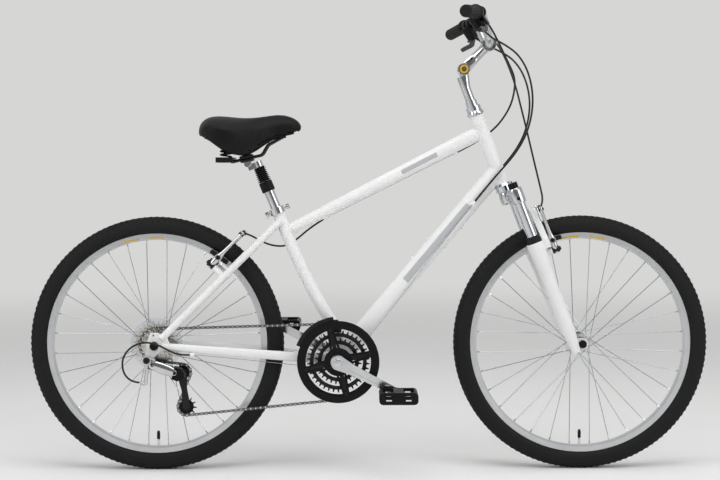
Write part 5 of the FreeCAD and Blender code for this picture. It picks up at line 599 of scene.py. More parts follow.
@dataclass
class TurnedPair:
    """Two turned pieces that face outwards, one on each side of the bicycle.

    Attributes:
        name: Their name, after the word for the side.
        body: CAD body that they ride on.
        finish: Their finish.
        middle: Point midway between them.
        face: Distance of their feet from that point, in millimetres.
        profile: Radius and height of each corner, in millimetres.
        steps: Facets round the axis.
    """

    name: str
    body: str
    finish: Finish
    middle: Vector
    face: float
    profile: list[tuple[float, float]]
    steps: int = 32

    def build(self) -> None:
        """Makes both pieces."""
        for side, word in SIDES:
            place = standing(self.middle + ACROSS * side * self.face * MM, ACROSS * side)
            piece_of(turned(self.profile, self.steps), f"{word}_{self.name}", self.body, self.finish, place)


# Wheels


@dataclass
class Wheel:
    """Tread, nipples, rim strips and valve cap of one wheel, in millimetres.

    Attributes:
        word: The wheel's name.
        axle: Its axle's middle, in metres.
        strip_from: Start of the yellow strips, in degrees from the top towards the front.
        strip_to: Their end.
        tyre_radius: Outer radius of the tyre.
        tyre_half_width: Half of its width.
        rim_inner: Inner radius of the rim.
        rim_half_width: Half of its width.
        strip_radii: Inner and outer radius of the strips.
        strip_shares: Shares of the run that the first and the last length of strip take.
        spokes_per_side: Spokes on one flange.
        crossings: How many others a spoke crosses.
        blocks_round: Tread blocks in one row.
        rows: How far each row leans from the tyre's crown, in degrees.
        block_turn: How far a block is turned on the tread, in degrees.
        sunk: How far a block's middle lies under the tyre's surface.
    """

    word: str
    axle: Vector
    strip_from: float
    strip_to: float
    tyre_radius: float = 327
    tyre_half_width: float = 24
    rim_inner: float = 267.5
    rim_half_width: float = 13.5
    strip_radii: tuple[float, float] = (271.6, 275.6)
    strip_shares: tuple[float, float] = (0.42, 0.34)
    spokes_per_side: int = 16
    crossings: int = 3
    blocks_round: int = 132
    rows: tuple[float, float] = (26, 48)
    block_turn: float = 18
    sunk: float = 0.55

    def build(self) -> None:
        """Makes all of the wheel's pieces."""
        self.tread()
        self.nipples()
        self.strips()
        cap = turned([(0, 22), (3.3, 22), (3.3, 18), (4.3, 17.5), (4.3, 3), (3.2, 0), (3.05, 0), (3.05, 19), (0, 19)],
                     12)
        foot = self.axle - UP * (self.rim_inner - 17) * MM
        self.add(cap, "valve_cap", BLACK_PLASTIC, Matrix.Translation(foot))

    def add(self, shape: Shape, name: str, finish: Finish, place: Matrix) -> None:
        """Makes a piece that turns with the wheel.

        Args:
            shape: Its shape, which is used up.
            name: Its name, after the wheel's.
            finish: Its finish.
            place: Where it goes.
        """
        piece_of(shape, f"{self.word}_{name}", f"{self.word}_wheel", finish, place)

    def tread(self) -> None:
        """Makes the shoulder blocks of the tread, in two rows on each side."""
        ring = bmesh.new()
        step = 2 * math.pi / self.blocks_round
        middle = self.tyre_radius - self.tyre_half_width
        for row, lean in enumerate(self.rows):
            knob = block((7.6 - row, 11 - 2 * row, 2.4), 0.6, 1)
            for side, _ in SIDES:
                tilt = math.radians(lean) * side
                out = Vector((0, math.sin(tilt), math.cos(tilt)))
                foot = Vector((0, 0, middle)) + out * (self.tyre_half_width - self.sunk)
                seat = standing(foot * MM, out) @ Matrix.Rotation(math.radians(self.block_turn * side), 4, "Z")
                for index in range(self.blocks_round):
                    add_copy(ring, knob, Matrix.Rotation((index + row / 2) * step, 4, "Y") @ seat)
            knob.free()
        self.add(ring, "tread_blocks", TREAD_RUBBER, Matrix.Translation(self.axle))

    def nipples(self) -> None:
        """Makes the spoke nipples that stand in the rim."""
        nipple = turned([(0, -1), (2.0, -1), (2.0, 6), (1.5, 8.5), (1.15, 9), (0, 9)], 8)
        ring = bmesh.new()
        step = 2 * math.pi / self.spokes_per_side
        for side, shift in ((1, 0), (-1, step / 2)):
            for index in range(self.spokes_per_side):
                outside = index % 2
                lead = index * step + shift + step / 4 + (-1 if outside else 1) * self.crossings * step
                inward = Vector((-math.cos(lead), 0, -math.sin(lead)))
                # The CAD's outside spokes end a little past the rim's middle.
                offset = Vector((0, -side * 3 * MM if outside else 0, 0))
                add_copy(ring, nipple, standing(offset - inward * self.rim_inner * MM, inward))
        nipple.free()
        self.add(ring, "spoke_nipples", BRIGHT_STEEL, Matrix.Translation(self.axle))

    def strips(self) -> None:
        """Makes the plain yellow strips on both faces of the rim, each in two lengths."""
        whole = self.strip_to - self.strip_from
        first, last = self.strip_shares
        for side, word in SIDES:
            strip = bmesh.new()
            for start, share in ((self.strip_from, first), (self.strip_to - last * whole, last)):
                ends = [strip.verts.new((0, side * (self.rim_half_width + 0.12) * MM, radius * MM))
                        for radius in self.strip_radii]
                bmesh.ops.rotate(strip, verts=ends, cent=(0, 0, 0),
                                 matrix=Matrix.Rotation(math.radians(start), 3, "Y"))
                edge = strip.edges.new(ends)
                bmesh.ops.spin(strip, geom=[*ends, edge], axis=(0, 1, 0), cent=(0, 0, 0),
                               angle=math.radians(share * whole), steps=14)
            bmesh.ops.solidify(strip, geom=list(strip.faces), thickness=0.1 * MM)
            bmesh.ops.recalc_face_normals(strip, faces=strip.faces)
            self.add(strip, f"{word}_rim_strip", YELLOW, Matrix.Translation(self.axle))


# Saddle and seat post


@dataclass
class SaddleCover:
    """Padded saddle, swelled by a cloth simulation, with its skirt pulled over the base.

    Attributes:
        voxel: Size of the remesh, in metres.
        shrink: Share of its width and length that the pad starts from.
        skirt: Share by which it is drawn down over the base.
        swell: Furthest that any point may move, in metres.
        held: Height over which the glued edge lets go, in metres.
        pressure: Pressure of the filling.
        frames: Frames that the simulation runs.
        passes: Smoothing passes after it.
        base: Share of its CAD size that the base shows inside the skirt.
    """

    voxel: float = 0.0045
    shrink: float = 0.995
    skirt: float = 1.07
    swell: float = 0.0035
    held: float = 0.04
    pressure: float = 4.0
    frames: int = 20
    passes: int = 6
    base: Triple = (0.93, 0.92, 1)

    def build(self) -> None:
        """Makes the padded cover in the place of its CAD solid."""
        low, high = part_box("saddle_cover")
        top = Vector(((low.x + high.x) / 2, 0, high.z))
        cover = piece_of(self.resized("saddle_cover", top, (self.shrink, self.shrink, self.skirt)),
                         "padded_saddle_cover", "saddle", SADDLE_VINYL, sharp=180)
        pan = piece_of(self.resized("saddle_base", top, self.base), "moulded_saddle_base", "saddle", BLACK_PLASTIC)
        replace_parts(pan, "saddle_base")
        cover.modifiers.new("remesh", "REMESH").voxel_size = self.voxel
        self.bake(cover)
        self.inflate(cover)
        smooth = cover.modifiers.new("smooth", "SUBSURF")
        smooth.levels = 1
        smooth.render_levels = 1
        cover.data.polygons.foreach_set("use_smooth", [True] * len(cover.data.polygons))
        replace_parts(cover, "saddle_cover")

    def resized(self, node: str, middle: Vector, shares: Triple) -> Shape:
        """Gives a merged copy of a CAD solid at another size.

        Args:
            node: The CAD node.
            middle: The point that stays.
            shares: Share of its size along each axis.

        Returns:
            The copy.
        """
        shape = bmesh.new()
        shape.from_mesh(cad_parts[node].data)
        bmesh.ops.remove_doubles(shape, verts=shape.verts, dist=0.02 * MM)
        place = Matrix.Translation(middle) @ Matrix.Diagonal((*shares, 1)) @ Matrix.Translation(-middle)
        bmesh.ops.transform(shape, matrix=place, verts=shape.verts)
        return shape

    def bake(self, piece: Piece) -> None:
        """Applies the piece's modifiers to its mesh.

        Args:
            piece: The piece whose modifiers are applied.
        """
        graph = bpy.context.evaluated_depsgraph_get()
        mesh = bpy.data.meshes.new_from_object(piece.evaluated_get(graph))
        piece.modifiers.clear()
        piece.data = mesh

    def inflate(self, piece: Piece) -> None:
        """Swells the pad under pressure, with each point's move capped.

        Args:
            piece: The pad.
        """
        rest = [vertex.co.copy() for vertex in piece.data.vertices]
        cloth = piece.modifiers.new("cloth", "CLOTH")
        cloth.settings.use_pressure = True
        cloth.settings.uniform_pressure_force = self.pressure
        cloth.settings.effector_weights.gravity = 0
        cloth.settings.quality = 5
        for number in range(1, self.frames + 1):
            bpy.context.scene.frame_set(number)
        self.bake(piece)
        bpy.context.scene.frame_set(1)
        foot = min(start.z for start in rest)
        for vertex, start in zip(piece.data.vertices, rest):
            move = vertex.co - start
            most = self.swell * min(1, (start.z - foot) / self.held)
            if move.length > most:
                vertex.co = start + move.normalized() * most
        shape = bmesh.new()
        shape.from_mesh(piece.data)
        for _ in range(self.passes):
            bmesh.ops.smooth_vert(shape, verts=shape.verts, factor=0.5, use_axis_x=True, use_axis_y=True,
                                  use_axis_z=True)
        shape.to_mesh(piece.data)
        shape.free()


@dataclass
class SaddleClamp:
    """Clamp of two dark plates on a bright cross barrel, which grips the saddle's rails.

    Attributes:
        middle: Middle of the clamp.
        slope: Slope of the rails there, in degrees.
        plate: Length, width and height of a plate, in millimetres.
        barrel: Radius and half width of the barrel under the plates.
        lift: Distance of a plate's middle from the rails.
        drop: Distance of the barrel from them.
    """

    middle: Vector = field(default_factory=lambda: SEAT_TOP + Vector((-0.074, 0, 0.1273)))
    slope: float = 12
    plate: Triple = (34, 58, 8.4)
    barrel: tuple[float, float] = (9.8, 21)
    lift: float = 4.6
    drop: float = 12.5

    def build(self) -> None:
        """Makes the clamp in the place of its CAD solid."""
        place = Matrix.Translation(self.middle) @ Matrix.Rotation(math.radians(-self.slope), 4, "Y")
        plates = bmesh.new()
        for lift in (self.lift, -self.lift):
            join(plates, block(self.plate, 2.6, 3), place @ Matrix.Translation((0, 0, lift * MM)))
        bolt = turned([(0, 7), (7, 7), (7, 8.6), (5.4, 9.2), (5.4, 12.6), (4.6, 13.2), (0, 13.2)], 6)
        join(plates, bolt, place)
        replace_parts(piece_of(plates, "saddle_clamp_plates", "saddle", BLACK_STEEL), "saddle_clamp")
        radius, half = self.barrel
        barrel = turned([(0, -half), (radius - 1.6, -half), (radius, 1.6 - half), (radius, half - 1.6),
                         (radius - 1.6, half), (0, half)], 32)
        across = place @ standing(-UP * self.drop * MM, ACROSS)
        piece_of(barrel, "saddle_clamp_barrel", "saddle", POLISHED_ALLOY, across)


@dataclass
class SeatPostBoot:
    """Ribbed rubber boot of the suspension seat post, and the nut under it.

    Attributes:
        start: Height of the boot's foot along the seat post, in millimetres.
        end: Height of its top.
        ribs: Number of ribs.
        groove: Radius between the ribs.
        rib: Radius of the lowest rib.
        taper: How much smaller the highest one is.
        bore: Radius of its hole.
        nut_foot: Height of the nut's foot.
        nut_radius: Radius of the nut.
        nut_bore: Radius of its hole below the boot's.
        steps: Corners of one rib's wave.
    """

    start: float = 74
    end: float = 113.7
    ribs: int = 8
    groove: float = 12.2
    rib: float = 18.5
    taper: float = 3
    bore: float = 11.4
    nut_foot: float = 46.5
    nut_radius: float = 17.3
    nut_bore: float = 13.7
    steps: int = 6

    def build(self) -> None:
        """Makes the boot and its nut in the place of their CAD solid."""
        pitch = (self.end - self.start) / self.ribs
        profile = []
        for index in range(self.ribs * self.steps + 1):
            lift = 0.5 - 0.5 * math.cos(2 * math.pi * index / self.steps)
            crest = self.rib - self.taper * index / (self.ribs * self.steps)
            profile.append((self.groove + (crest - self.groove) * lift, self.start + index * pitch / self.steps))
        profile += [(self.bore, self.end), (self.bore, self.start)]
        place = standing(SEAT_TOP, SEAT_UP)
        piece = piece_of(turned(profile), "ribbed_boot", "seat_post", SOFT_RUBBER, place, 60)
        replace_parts(piece, "seat_post_boot")
        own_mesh(piece)
        foot, radius, top = self.nut_foot, self.nut_radius, self.start - 0.4
        nut = turned([(self.nut_bore, foot), (radius - 1, foot), (radius, foot + 1), (radius, top - 2.1),
                      (radius - 2, top), (self.bore, top), (self.bore, 52.4), (self.nut_bore, 52.4)], 44)
        piece_of(nut, "boot_nut", "seat_post", BLACK_PLASTIC, place)


# Cables


class Lay(Enum):
    """How a cable lies between its ends."""

    HANGING = "hanging"
    TAUT = "taut"


def drawn(name: str, kind: str, points: Sequence[Sequence[float]], radius: float) -> bpy.types.Curve:
    """Draws a curve along points.

    Args:
        name: The curve's name.
        kind: NURBS for a smooth line, POLY for straight runs from point to point.
        points: The points, in metres.
        radius: Radius of its round section; zero for a bare line.

    Returns:
        The curve.
    """
    data = bpy.data.curves.new(name, "CURVE")
    data.dimensions = "3D"
    spline = data.splines.new(kind)
    spline.points.add(len(points) - 1)
    for point, place in zip(spline.points, points):
        point.co = (*place, 1)
    spline.order_u = 3
    spline.use_endpoint_u = True
    data.resolution_u = 12
    data.bevel_depth = radius
    data.bevel_resolution = 3
    data.use_fill_caps = radius > 0
    return data


def meshed(data: bpy.types.Curve) -> bpy.types.Mesh:
    """Turns a curve to a mesh.

    Args:
        data: The curve, which is used up.

    Returns:
        The mesh.
    """
    curve = show(f"{data.name}_curve", data)
    bpy.context.view_layer.update()
    mesh = bpy.data.meshes.new_from_object(curve.evaluated_get(bpy.context.evaluated_depsgraph_get()))
    bpy.data.objects.remove(curve)
    bpy.data.curves.remove(data)
    return mesh


@dataclass
class Cable:
    """One cable on a smooth line through given points.

    Attributes:
        name: The cable's name.
        points: The route's points, in millimetres.
        radius: Radius of the housing or the wire, in metres.
        lay: How it lies; not used.
        body: CAD body at its first end.
        node: CAD node that it stands for.
        finish: Its finish.
        ends_on: CAD body at its far end, where that is another one.
        split: Height in metres at which a cable that crosses two joints is parted.
    """

    name: str
    points: Route
    radius: float
    lay: Lay
    body: str
    node: str
    finish: Finish = CABLE_COVER
    ends_on: str | None = None
    split: float = 0.0

    def curve(self, radius: float) -> bpy.types.Curve:
        """Draws the smooth line of the route.

        Args:
            radius: Radius of its round section; zero for a bare line.

        Returns:
            The curve.
        """
        return drawn(self.name, "NURBS", [[axis * MM for axis in point] for point in self.points], radius)

    def tube(self, name: str, path: list[Vector]) -> Piece:
        """Makes a mesh tube along points of the smooth line.

        Args:
            name: The tube's name.
            path: The points that it follows.

        Returns:
            The tube, which rides on no body.
        """
        mesh = meshed(drawn(name, "POLY", path, self.radius))
        mesh.polygons.foreach_set("use_smooth", [True] * len(mesh.polygons))
        mesh.materials.clear()
        mesh.materials.append(self.finish.material())
        return show(name, mesh)

    def declare(self, piece: Piece) -> None:
        """Hides the CAD node that a piece stands for.

        Args:
            piece: The piece.
        """
        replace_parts(piece, self.node)

    def build(self) -> None:
        """Makes the cable: one curve, or two tubes parted where it crosses two joints."""
        line = meshed(self.curve(0.0))
        path = [vertex.co.copy() for vertex in line.vertices]
        bpy.data.meshes.remove(line)
        if self.ends_on is None:
            piece = show(self.name, self.curve(self.radius))
            piece.data.materials.append(self.finish.material())
            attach(piece, self.body)
            self.declare(piece)
            return
        parting = next(index for index, point in enumerate(path) if point.z < self.split)
        for word, part, bodies in (("upper", path[:parting + 1], (self.body, "steering")),
                                   ("lower", path[parting:], ("steering", self.ends_on))):
            piece = self.tube(f"{self.name}_{word}", part)
            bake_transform(piece)
            self.declare(piece)


@dataclass
class CableSet:
    """All brake and gear cables, with their routes in millimetres.

    Attributes:
        housing: Radius of a housing, in metres.
        wire: Radius of a bare wire, in metres.
        rear_brake: Rear brake's housing, from its lever to the top tube.
        front_brake: Front brake's housing, from its lever to its arm.
        shift: Rear gear's housing, from its shifter to the down tube. The front gear's is its mirror image.
        brake_tail: Rear brake's housing, from the top tube to its arm.
        gear_loop: Housing behind the rear derailleur.
        under_wire: Rear gear's wire, under the down tube and the bottom bracket.
        selector_wire: Front gear's wire.
    """

    housing: float = 2.5 * MM
    wire: float = 0.8 * MM
    rear_brake: Route = (
        (292.5, -154.2, 1134.2), (298.2, -133, 1136), (320, -100, 1106), (352, -60, 1050), (374, -30, 1012),
        (378, -5, 982), (370, 15, 939), (346, 28, 898), (316, 30, 868), (272, 12, 839), (225, 8, 815.5))
    front_brake: Route = (
        (292.5, 154.2, 1134.2), (298.2, 133, 1136), (334, 100, 1116), (360, 66, 1065), (383, 40, 994),
        (396, 22, 935), (412, 9, 865), (429, 8, 792), (445, 8, 727), (450, -14, 692), (440, -42, 677))
    shift: Route = (
        (292.3, -115.3, 1116.9), (305.5, -104.2, 1103.8), (344, -92, 1086), (378, -74, 1064), (402, -58, 1030),
        (416, -45, 989), (421, -36, 947), (417, -30, 905), (406, -27, 866), (390, -26, 834), (367, -26, 801),
        (316, -25, 744), (270, -23.5, 687))
    brake_tail: Route = (
        (-110, 8, 649.5), (-146, 10, 628), (-190, 20, 590), (-217, 27, 575), (-253, 25, 578), (-282, 10, 592),
        (-302, -12, 606), (-321, -42, 614))
    gear_loop: Route = (
        (-451, -63, 303), (-478, -70, 303), (-504, -84, 314), (-530, -93, 331), (-564, -99, 341), (-600, -100, 330),
        (-624, -98, 300), (-623, -95, 262), (-602, -91, 238), (-582, -88, 236))
    under_wire: Route = (
        (270, -23.5, 687), (247, -22.75, 658.5), (-62, -13, 258), (-92, -13, 260), (-437.5, -59.5, 303),
        (-451, -63, 303))
    selector_wire: Route = (
        (270, 23.5, 687), (247, 22.75, 658.5), (-62, 9, 258), (-90, 4, 258), (-106, -6, 276), (-131, -26, 388))

    def build(self) -> None:
        """Makes every cable."""
        free = {"radius": self.housing, "lay": Lay.HANGING, "body": "bars", "node": "handlebar_cables"}
        held = {"lay": Lay.TAUT, "body": "frame", "node": "frame_cables"}
        bare = {"radius": self.wire, "finish": SPOKE_STEEL}
        cables = [
            Cable("rear_brake_housing", self.rear_brake, ends_on="frame", split=1.0, **free),
            Cable("front_brake_housing", self.front_brake, ends_on="fork_slider", split=0.95, **free),
            Cable("rear_brake_tail", self.brake_tail, radius=self.housing, **held),
            Cable("rear_gear_loop", self.gear_loop, radius=self.housing, **held),
            Cable("rear_gear_wire", self.under_wire, **bare, **held),
            Cable("front_gear_wire", self.selector_wire, **bare, **held),
            Cable("rear_brake_wire", (self.rear_brake[-1], self.brake_tail[0]), **bare, **held),
        ]
        for side, word in ((1, "rear"), (-1, "front")):
            route = tuple((x, side * y, z) for x, y, z in self.shift)
            cables.append(Cable(f"{word}_gear_housing", route, ends_on="frame", split=0.99, **free))
        for word, end, body, node in (("front", self.front_brake[-1], "fork_slider", "handlebar_cables"),
                                      ("rear", self.brake_tail[-1], "frame", "frame_cables")):
            across = (end, (end[0], -end[1], end[2]))
            cables.append(Cable(f"{word}_brake_link_wire", across, lay=Lay.TAUT, body=body, node=node, **bare))
        for cable in cables:
            cable.build()


# Handlebar


@dataclass
class Grips:
    """Ribbed rubber grips.

    Attributes:
        knee: Bend of the bar inboard of the left grip, in metres.
        end: The bar's left end.
        length: Length of a grip on the bar, in millimetres.
        bore: Radius of its hole.
        flange: Radius of its inner flange.
        radius: Radius over its rings.
        groove: Depth between its rings.
        rings: Number of rings.
    """

    knee: Vector = field(default_factory=lambda: Vector((0.28441, 0.112, 1.16457)))
    end: Vector = field(default_factory=lambda: Vector((0.23141, 0.310, 1.14757)))
    length: float = 122
    bore: float = 11.2
    flange: float = 19
    radius: float = 15.4
    groove: float = 1.3
    rings: int = 17

    def build(self) -> None:
        """Makes both grips in the place of their CAD solid."""
        profile = [(self.bore, 0), (self.flange - 1, 0), (self.flange, 1), (self.flange, 3.2),
                   (self.flange - 1.4, 4.4)]
        pitch = (self.length - 14) / self.rings
        for ring in range(self.rings):
            foot = 8 + ring * pitch
            profile += [(self.radius - self.groove, foot), (self.radius, foot + 0.25 * pitch),
                        (self.radius, foot + 0.65 * pitch), (self.radius - self.groove, foot + 0.9 * pitch)]
        top = self.length + 4
        profile += [(self.radius, top - 7), (self.radius, top - 2.5), (self.radius - 2, top), (0, top),
                    (0, self.length + 0.2), (self.bore, self.length + 0.2), (self.bore, 0)]
        for side, word in SIDES:
            mirror = Vector((1, side, 1))
            run = ((self.end - self.knee) * mirror).normalized()
            place = standing(self.end * mirror - run * self.length * MM, run)
            piece = piece_of(turned(profile, 36), f"{word}_ribbed_grip", "bars", SOFT_RUBBER, place, 40)
            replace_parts(piece, "grips")


@dataclass
class StemArm:
    """Forged arm of the tilting stem, with the bolts of its clamp.

    Attributes:
        clamp_half: Half width of the clamp round the bar, in millimetres.
        bolt_across: Distance of a clamp bolt from the middle plane.
        bolt_lift: Its distance above or below the bar's middle.
    """

    clamp_half: float = 22
    bolt_across: float = 14
    bolt_lift: float = 9

    def build(self) -> None:
        """Makes the arm in the place of its CAD solid, and what is on it."""
        run = (BAR_MIDDLE - STEM_PIVOT).normalized()
        tall = ACROSS.cross(run)
        arm = bar(STEM_PIVOT + run * 0.024, BAR_MIDDLE, ACROSS, [
            (0, 12, 7), (0.03, 16, 11), (0.14, 18, 13), (0.35, 15.5, 12.6), (0.6, 13, 12), (0.85, 14, 13),
            (1, 16, 14)])
        for side, _ in SIDES:
            eye = turned([(4.2, 13.4), (15, 13.4), (16, 14.4), (16, 18.2), (14.4, 19.9), (4.2, 19.9)])
            join(arm, eye, standing(STEM_PIVOT, ACROSS * side))
            cheek = STEM_PIVOT + ACROSS * side * 0.0166
            join(arm, bar(cheek, STEM_PIVOT + run * 0.043 + ACROSS * side * 0.012, tall, [
                (0, 15.2, 3.2), (0.4, 14.4, 4.2), (0.8, 13.2, 5.5), (1, 10, 4)]))
        half = self.clamp_half
        join(arm, turned([(12.8, -half), (18, -half), (19, 1 - half), (19, half - 1), (18, half), (12.8, half)]),
             standing(BAR_MIDDLE, ACROSS))
        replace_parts(piece_of(arm, "forged_stem_arm", "bars", POLISHED_ALLOY), "stem_arm")
        bolts = bmesh.new()
        bolt = socket_bolt(3.6, -2, 3.2, 0.6, (1.7, 1.6), 16)
        for across in (self.bolt_across, -self.bolt_across):
            for lift in (self.bolt_lift, -self.bolt_lift):
                spot = BAR_MIDDLE + run * 0.0165 + (ACROSS * across + tall * lift) * MM
                add_copy(bolts, bolt, standing(spot, run))
        bolt.free()
        piece_of(bolts, "bar_clamp_bolts", "bars", BRIGHT_STEEL)


# Fork


@dataclass
class ForkCrown:
    """Forged crown with a clamp round each stanchion, and the bolts of the clamps.

    Attributes:
        foot: Height of its underside along the steering axis, in millimetres.
        height: Its height.
        ahead: How far the stanchions stand ahead of the steering axis.
        spread: How far they stand from the middle.
        bore: Radius of a stanchion with its fit.
    """

    foot: float = 398
    height: float = 36
    ahead: float = 18
    spread: float = 62
    bore: float = 14.4

    def at(self, ahead: float, left: float, up: float) -> Vector:
        """Gives a point in the steering's own frame.

        Args:
            ahead: Its distance ahead of the steering axis, in millimetres.
            left: Its distance left of it.
            up: Its height above the crown's underside.

        Returns:
            The point, in metres.
        """
        return STEER_FOOT + (STEER_AHEAD * ahead + ACROSS * left + STEER_UP * (self.foot + up)) * MM

    def build(self) -> None:
        """Makes the crown in the place of its CAD solid, and its bolts."""
        top = self.height
        crown = bmesh.new()
        join(crown, turned([(self.bore, 2), (18, 2), (20.5, 5), (21, 20), (19.5, top - 5), (17.5, top),
                            (self.bore, top)]), standing(self.at(0, 0, 0), STEER_UP))
        bolts = bmesh.new()
        for side, _ in SIDES:
            join(crown, turned([(self.bore, -3), (17.6, -3), (18.9, -1.6), (19.2, 4), (19.2, top - 4), (17.4, top),
                                (self.bore, top)]), standing(self.at(self.ahead, side * self.spread, 0), STEER_UP))
            join(crown, bar(self.at(0, 0, top / 2), self.at(self.ahead, side * self.spread, top / 2), STEER_UP, [
                (0.12, 15, 15), (0.35, 12.5, 11.5), (0.6, 13, 11.5), (0.76, 16, 14)]))
            join(bolts, socket_bolt(4.6, -2, 3.2, 0.8, (2.2, 1.4)),
                 standing(self.at(self.ahead, side * (self.spread + 19), 9), ACROSS * side))
        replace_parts(piece_of(crown, "forged_fork_crown", "steering", CROWN_ALLOY), "fork_crown")
        piece_of(bolts, "crown_bolts", "steering", BLACK_STEEL)


# Drive


@dataclass
class Chain:
    """Roller chain with waisted plates and pin heads, link by link where its CAD links are.

    Attributes:
        half_pitch: Half of the distance between two pins, in millimetres.
        end: Radius of a plate's ends.
        waist: Share of that radius at a plate's waist.
        thickness: Thickness of a plate.
        roller: Radius of a roller.
        gap: Half of the clear width between the inner plates.
        long_face: Share of the half pitch that a plate's face reaches past, and no other face does.
        near: Share of the half pitch within which two faces belong to one link.
        outer_width: Share of an inner link's half width past which a link is an outer one.
    """

    half_pitch: float = 6.35
    end: float = 4.1
    waist: float = 0.62
    thickness: float = 0.9
    roller: float = 3.8
    gap: float = 1.6
    long_face: float = 1.5
    near: float = 0.4
    outer_width: float = 2.45

    def plate(self) -> Shape:
        """Makes one plate, flat on the plane of X and Z, with its thickness along Y.

        Returns:
            The plate.
        """
        shape = bmesh.new()
        flat = Matrix.Rotation(math.pi / 2, 4, "X")
        bmesh.ops.create_circle(shape, cap_ends=True, segments=12, radius=self.end * MM, matrix=flat)
        for corner in shape.verts:
            if abs(corner.co.x) < 0.1 * MM:
                corner.co.z *= self.waist
            else:
                corner.co.x += math.copysign(self.half_pitch * MM, corner.co.x)
        bmesh.ops.solidify(shape, geom=list(shape.faces), thickness=self.thickness * MM)
        low = min(corner.co.y for corner in shape.verts)
        bmesh.ops.translate(shape, vec=(0, -low - self.thickness * MM / 2, 0), verts=shape.verts)
        bmesh.ops.recalc_face_normals(shape, faces=shape.faces)
        return shape

    def places(self) -> list[tuple[Matrix, bool]]:
        """Finds the links of the CAD chain by the flat faces of their plates.

        Returns:
            The place of each link, and whether it is an outer one.
        """
        shape = bmesh.new()
        shape.from_mesh(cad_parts["chain"].data)
        half = self.half_pitch * MM
        inner = (self.gap + self.thickness) * MM
        links, seen = [], set()
        for seed in shape.verts:
            face, ahead = [], [seed]
            while ahead:
                corner = ahead.pop()
                if corner not in seen:
                    seen.add(corner)
                    face.append(corner.co.copy())
                    ahead += [edge.other_vert(corner) for edge in corner.link_edges]
            middle = sum(face, Vector()) / max(len(face), 1)
            if any((point - middle).length > self.long_face * half for point in face):
                near = [faces for spot, faces in links if (spot - middle.xz).length < self.near * half]
                if near:
                    near[0].append(face)
                else:
                    links.append((middle.xz, [face]))
        shape.free()
        found = []
        for _, faces in links:
            points = [point for face in faces for point in face]
            middle = sum(points, Vector()) / len(points)
            outer = min(faces, key=lambda face: min(point.y for point in face))
            run = max((point - sum(outer, Vector()) / len(outer) for point in outer), key=lambda gap: gap.length)
            run.normalize()
            lift = run.cross(ACROSS).normalized()
            turn = Matrix((run, lift.cross(run), lift)).transposed().to_4x4()
            width = max(point.y for point in points) - min(point.y for point in points)
            found.append((Matrix.Translation(middle) @ turn, width > self.outer_width * inner))
        log.info("chain of %d links", len(found))
        return found

    def build(self) -> None:
        """Makes the chain in the place of its CAD solid."""
        links, pins = bmesh.new(), bmesh.new()
        plate = self.plate()
        reach = self.gap + 2 * self.thickness + 0.3
        roller = turned([(0, -self.gap), (self.roller, -self.gap), (self.roller, self.gap), (0, self.gap)], 10)
        pin = turned([(0, -reach), (1.3, -reach), (1.7, 0.3 - reach), (1.7, reach - 0.3), (1.3, reach), (0, reach)], 8)
        for place, outer in self.places():
            middle = self.gap + self.thickness * (1.5 if outer else 0.5)
            for across in (middle, -middle):
                add_copy(links, plate, place @ Matrix.Translation((0, across * MM, 0)))
            for along in (self.half_pitch, -self.half_pitch):
                at = place @ standing(Vector((along * MM, 0, 0)), ACROSS)
                add_copy(*((pins, pin) if outer else (links, roller)), at)
        for shape in (plate, roller, pin):
            shape.free()
        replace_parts(piece_of(links, "chain_links", "frame", DRIVE_STEEL), "chain")
        piece_of(pins, "chain_pins", "frame", BRIGHT_STEEL)


@dataclass
class DerailleurBody:
    """Swelling outer link of the rear derailleur, with the bolts that it swings on.

    Attributes:
        pivot: Its upper pivot.
        slant: Its slope in degrees, down towards the front.
        length: Distance between its pivots, in millimetres.
        offset: How far right of the middle it stands.
        hanger: Foot of the bolt that holds the derailleur to the frame.
    """

    pivot: Vector = field(default_factory=lambda: REAR_AXLE + Vector((-0.002, 0, -0.046)))
    slant: float = 20.4
    length: float = 60
    offset: float = 94
    hanger: Vector = field(default_factory=lambda: REAR_AXLE + Vector((-0.016, -0.101, -0.034)))

    def build(self) -> None:
        """Makes the link in the place of its CAD solid, and its bolts."""
        slope = math.radians(self.slant)
        run = Vector((math.cos(slope), 0, -math.sin(slope)))
        tall = run.cross(ACROSS)
        start = self.pivot - ACROSS * self.offset * MM
        link = bar(start, start + run * self.length * MM, tall, [
            (-0.16, 3, 2), (-0.14, 8, 3.6), (-0.06, 11, 4.4), (0.12, 13, 5.2), (0.4, 14.4, 6), (0.66, 13.8, 5.6),
            (0.88, 11.6, 4.8), (1.02, 9, 4), (1.09, 6, 3), (1.11, 2.5, 1.6)], 28)
        body = piece_of(link, "derailleur_body", "derailleur_outer_link", POLISHED_ALLOY)
        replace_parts(body, "derailleur_outer_link")
        bolts = bmesh.new()
        for along in (0, self.length):
            join(bolts, socket_bolt(4.4, 2, 6.2, 0.8, (2, 4.6)), standing(start + run * along * MM, -ACROSS))
        piece_of(bolts, "derailleur_bolts", "derailleur_outer_link", BLACK_STEEL)
        piece_of(socket_bolt(8.6, 0, 2.8, 1, (3.4, 0.8), 28), "derailleur_hanger_bolt", "frame", BLACK_STEEL,
                 standing(self.hanger, -ACROSS))


# Cranks


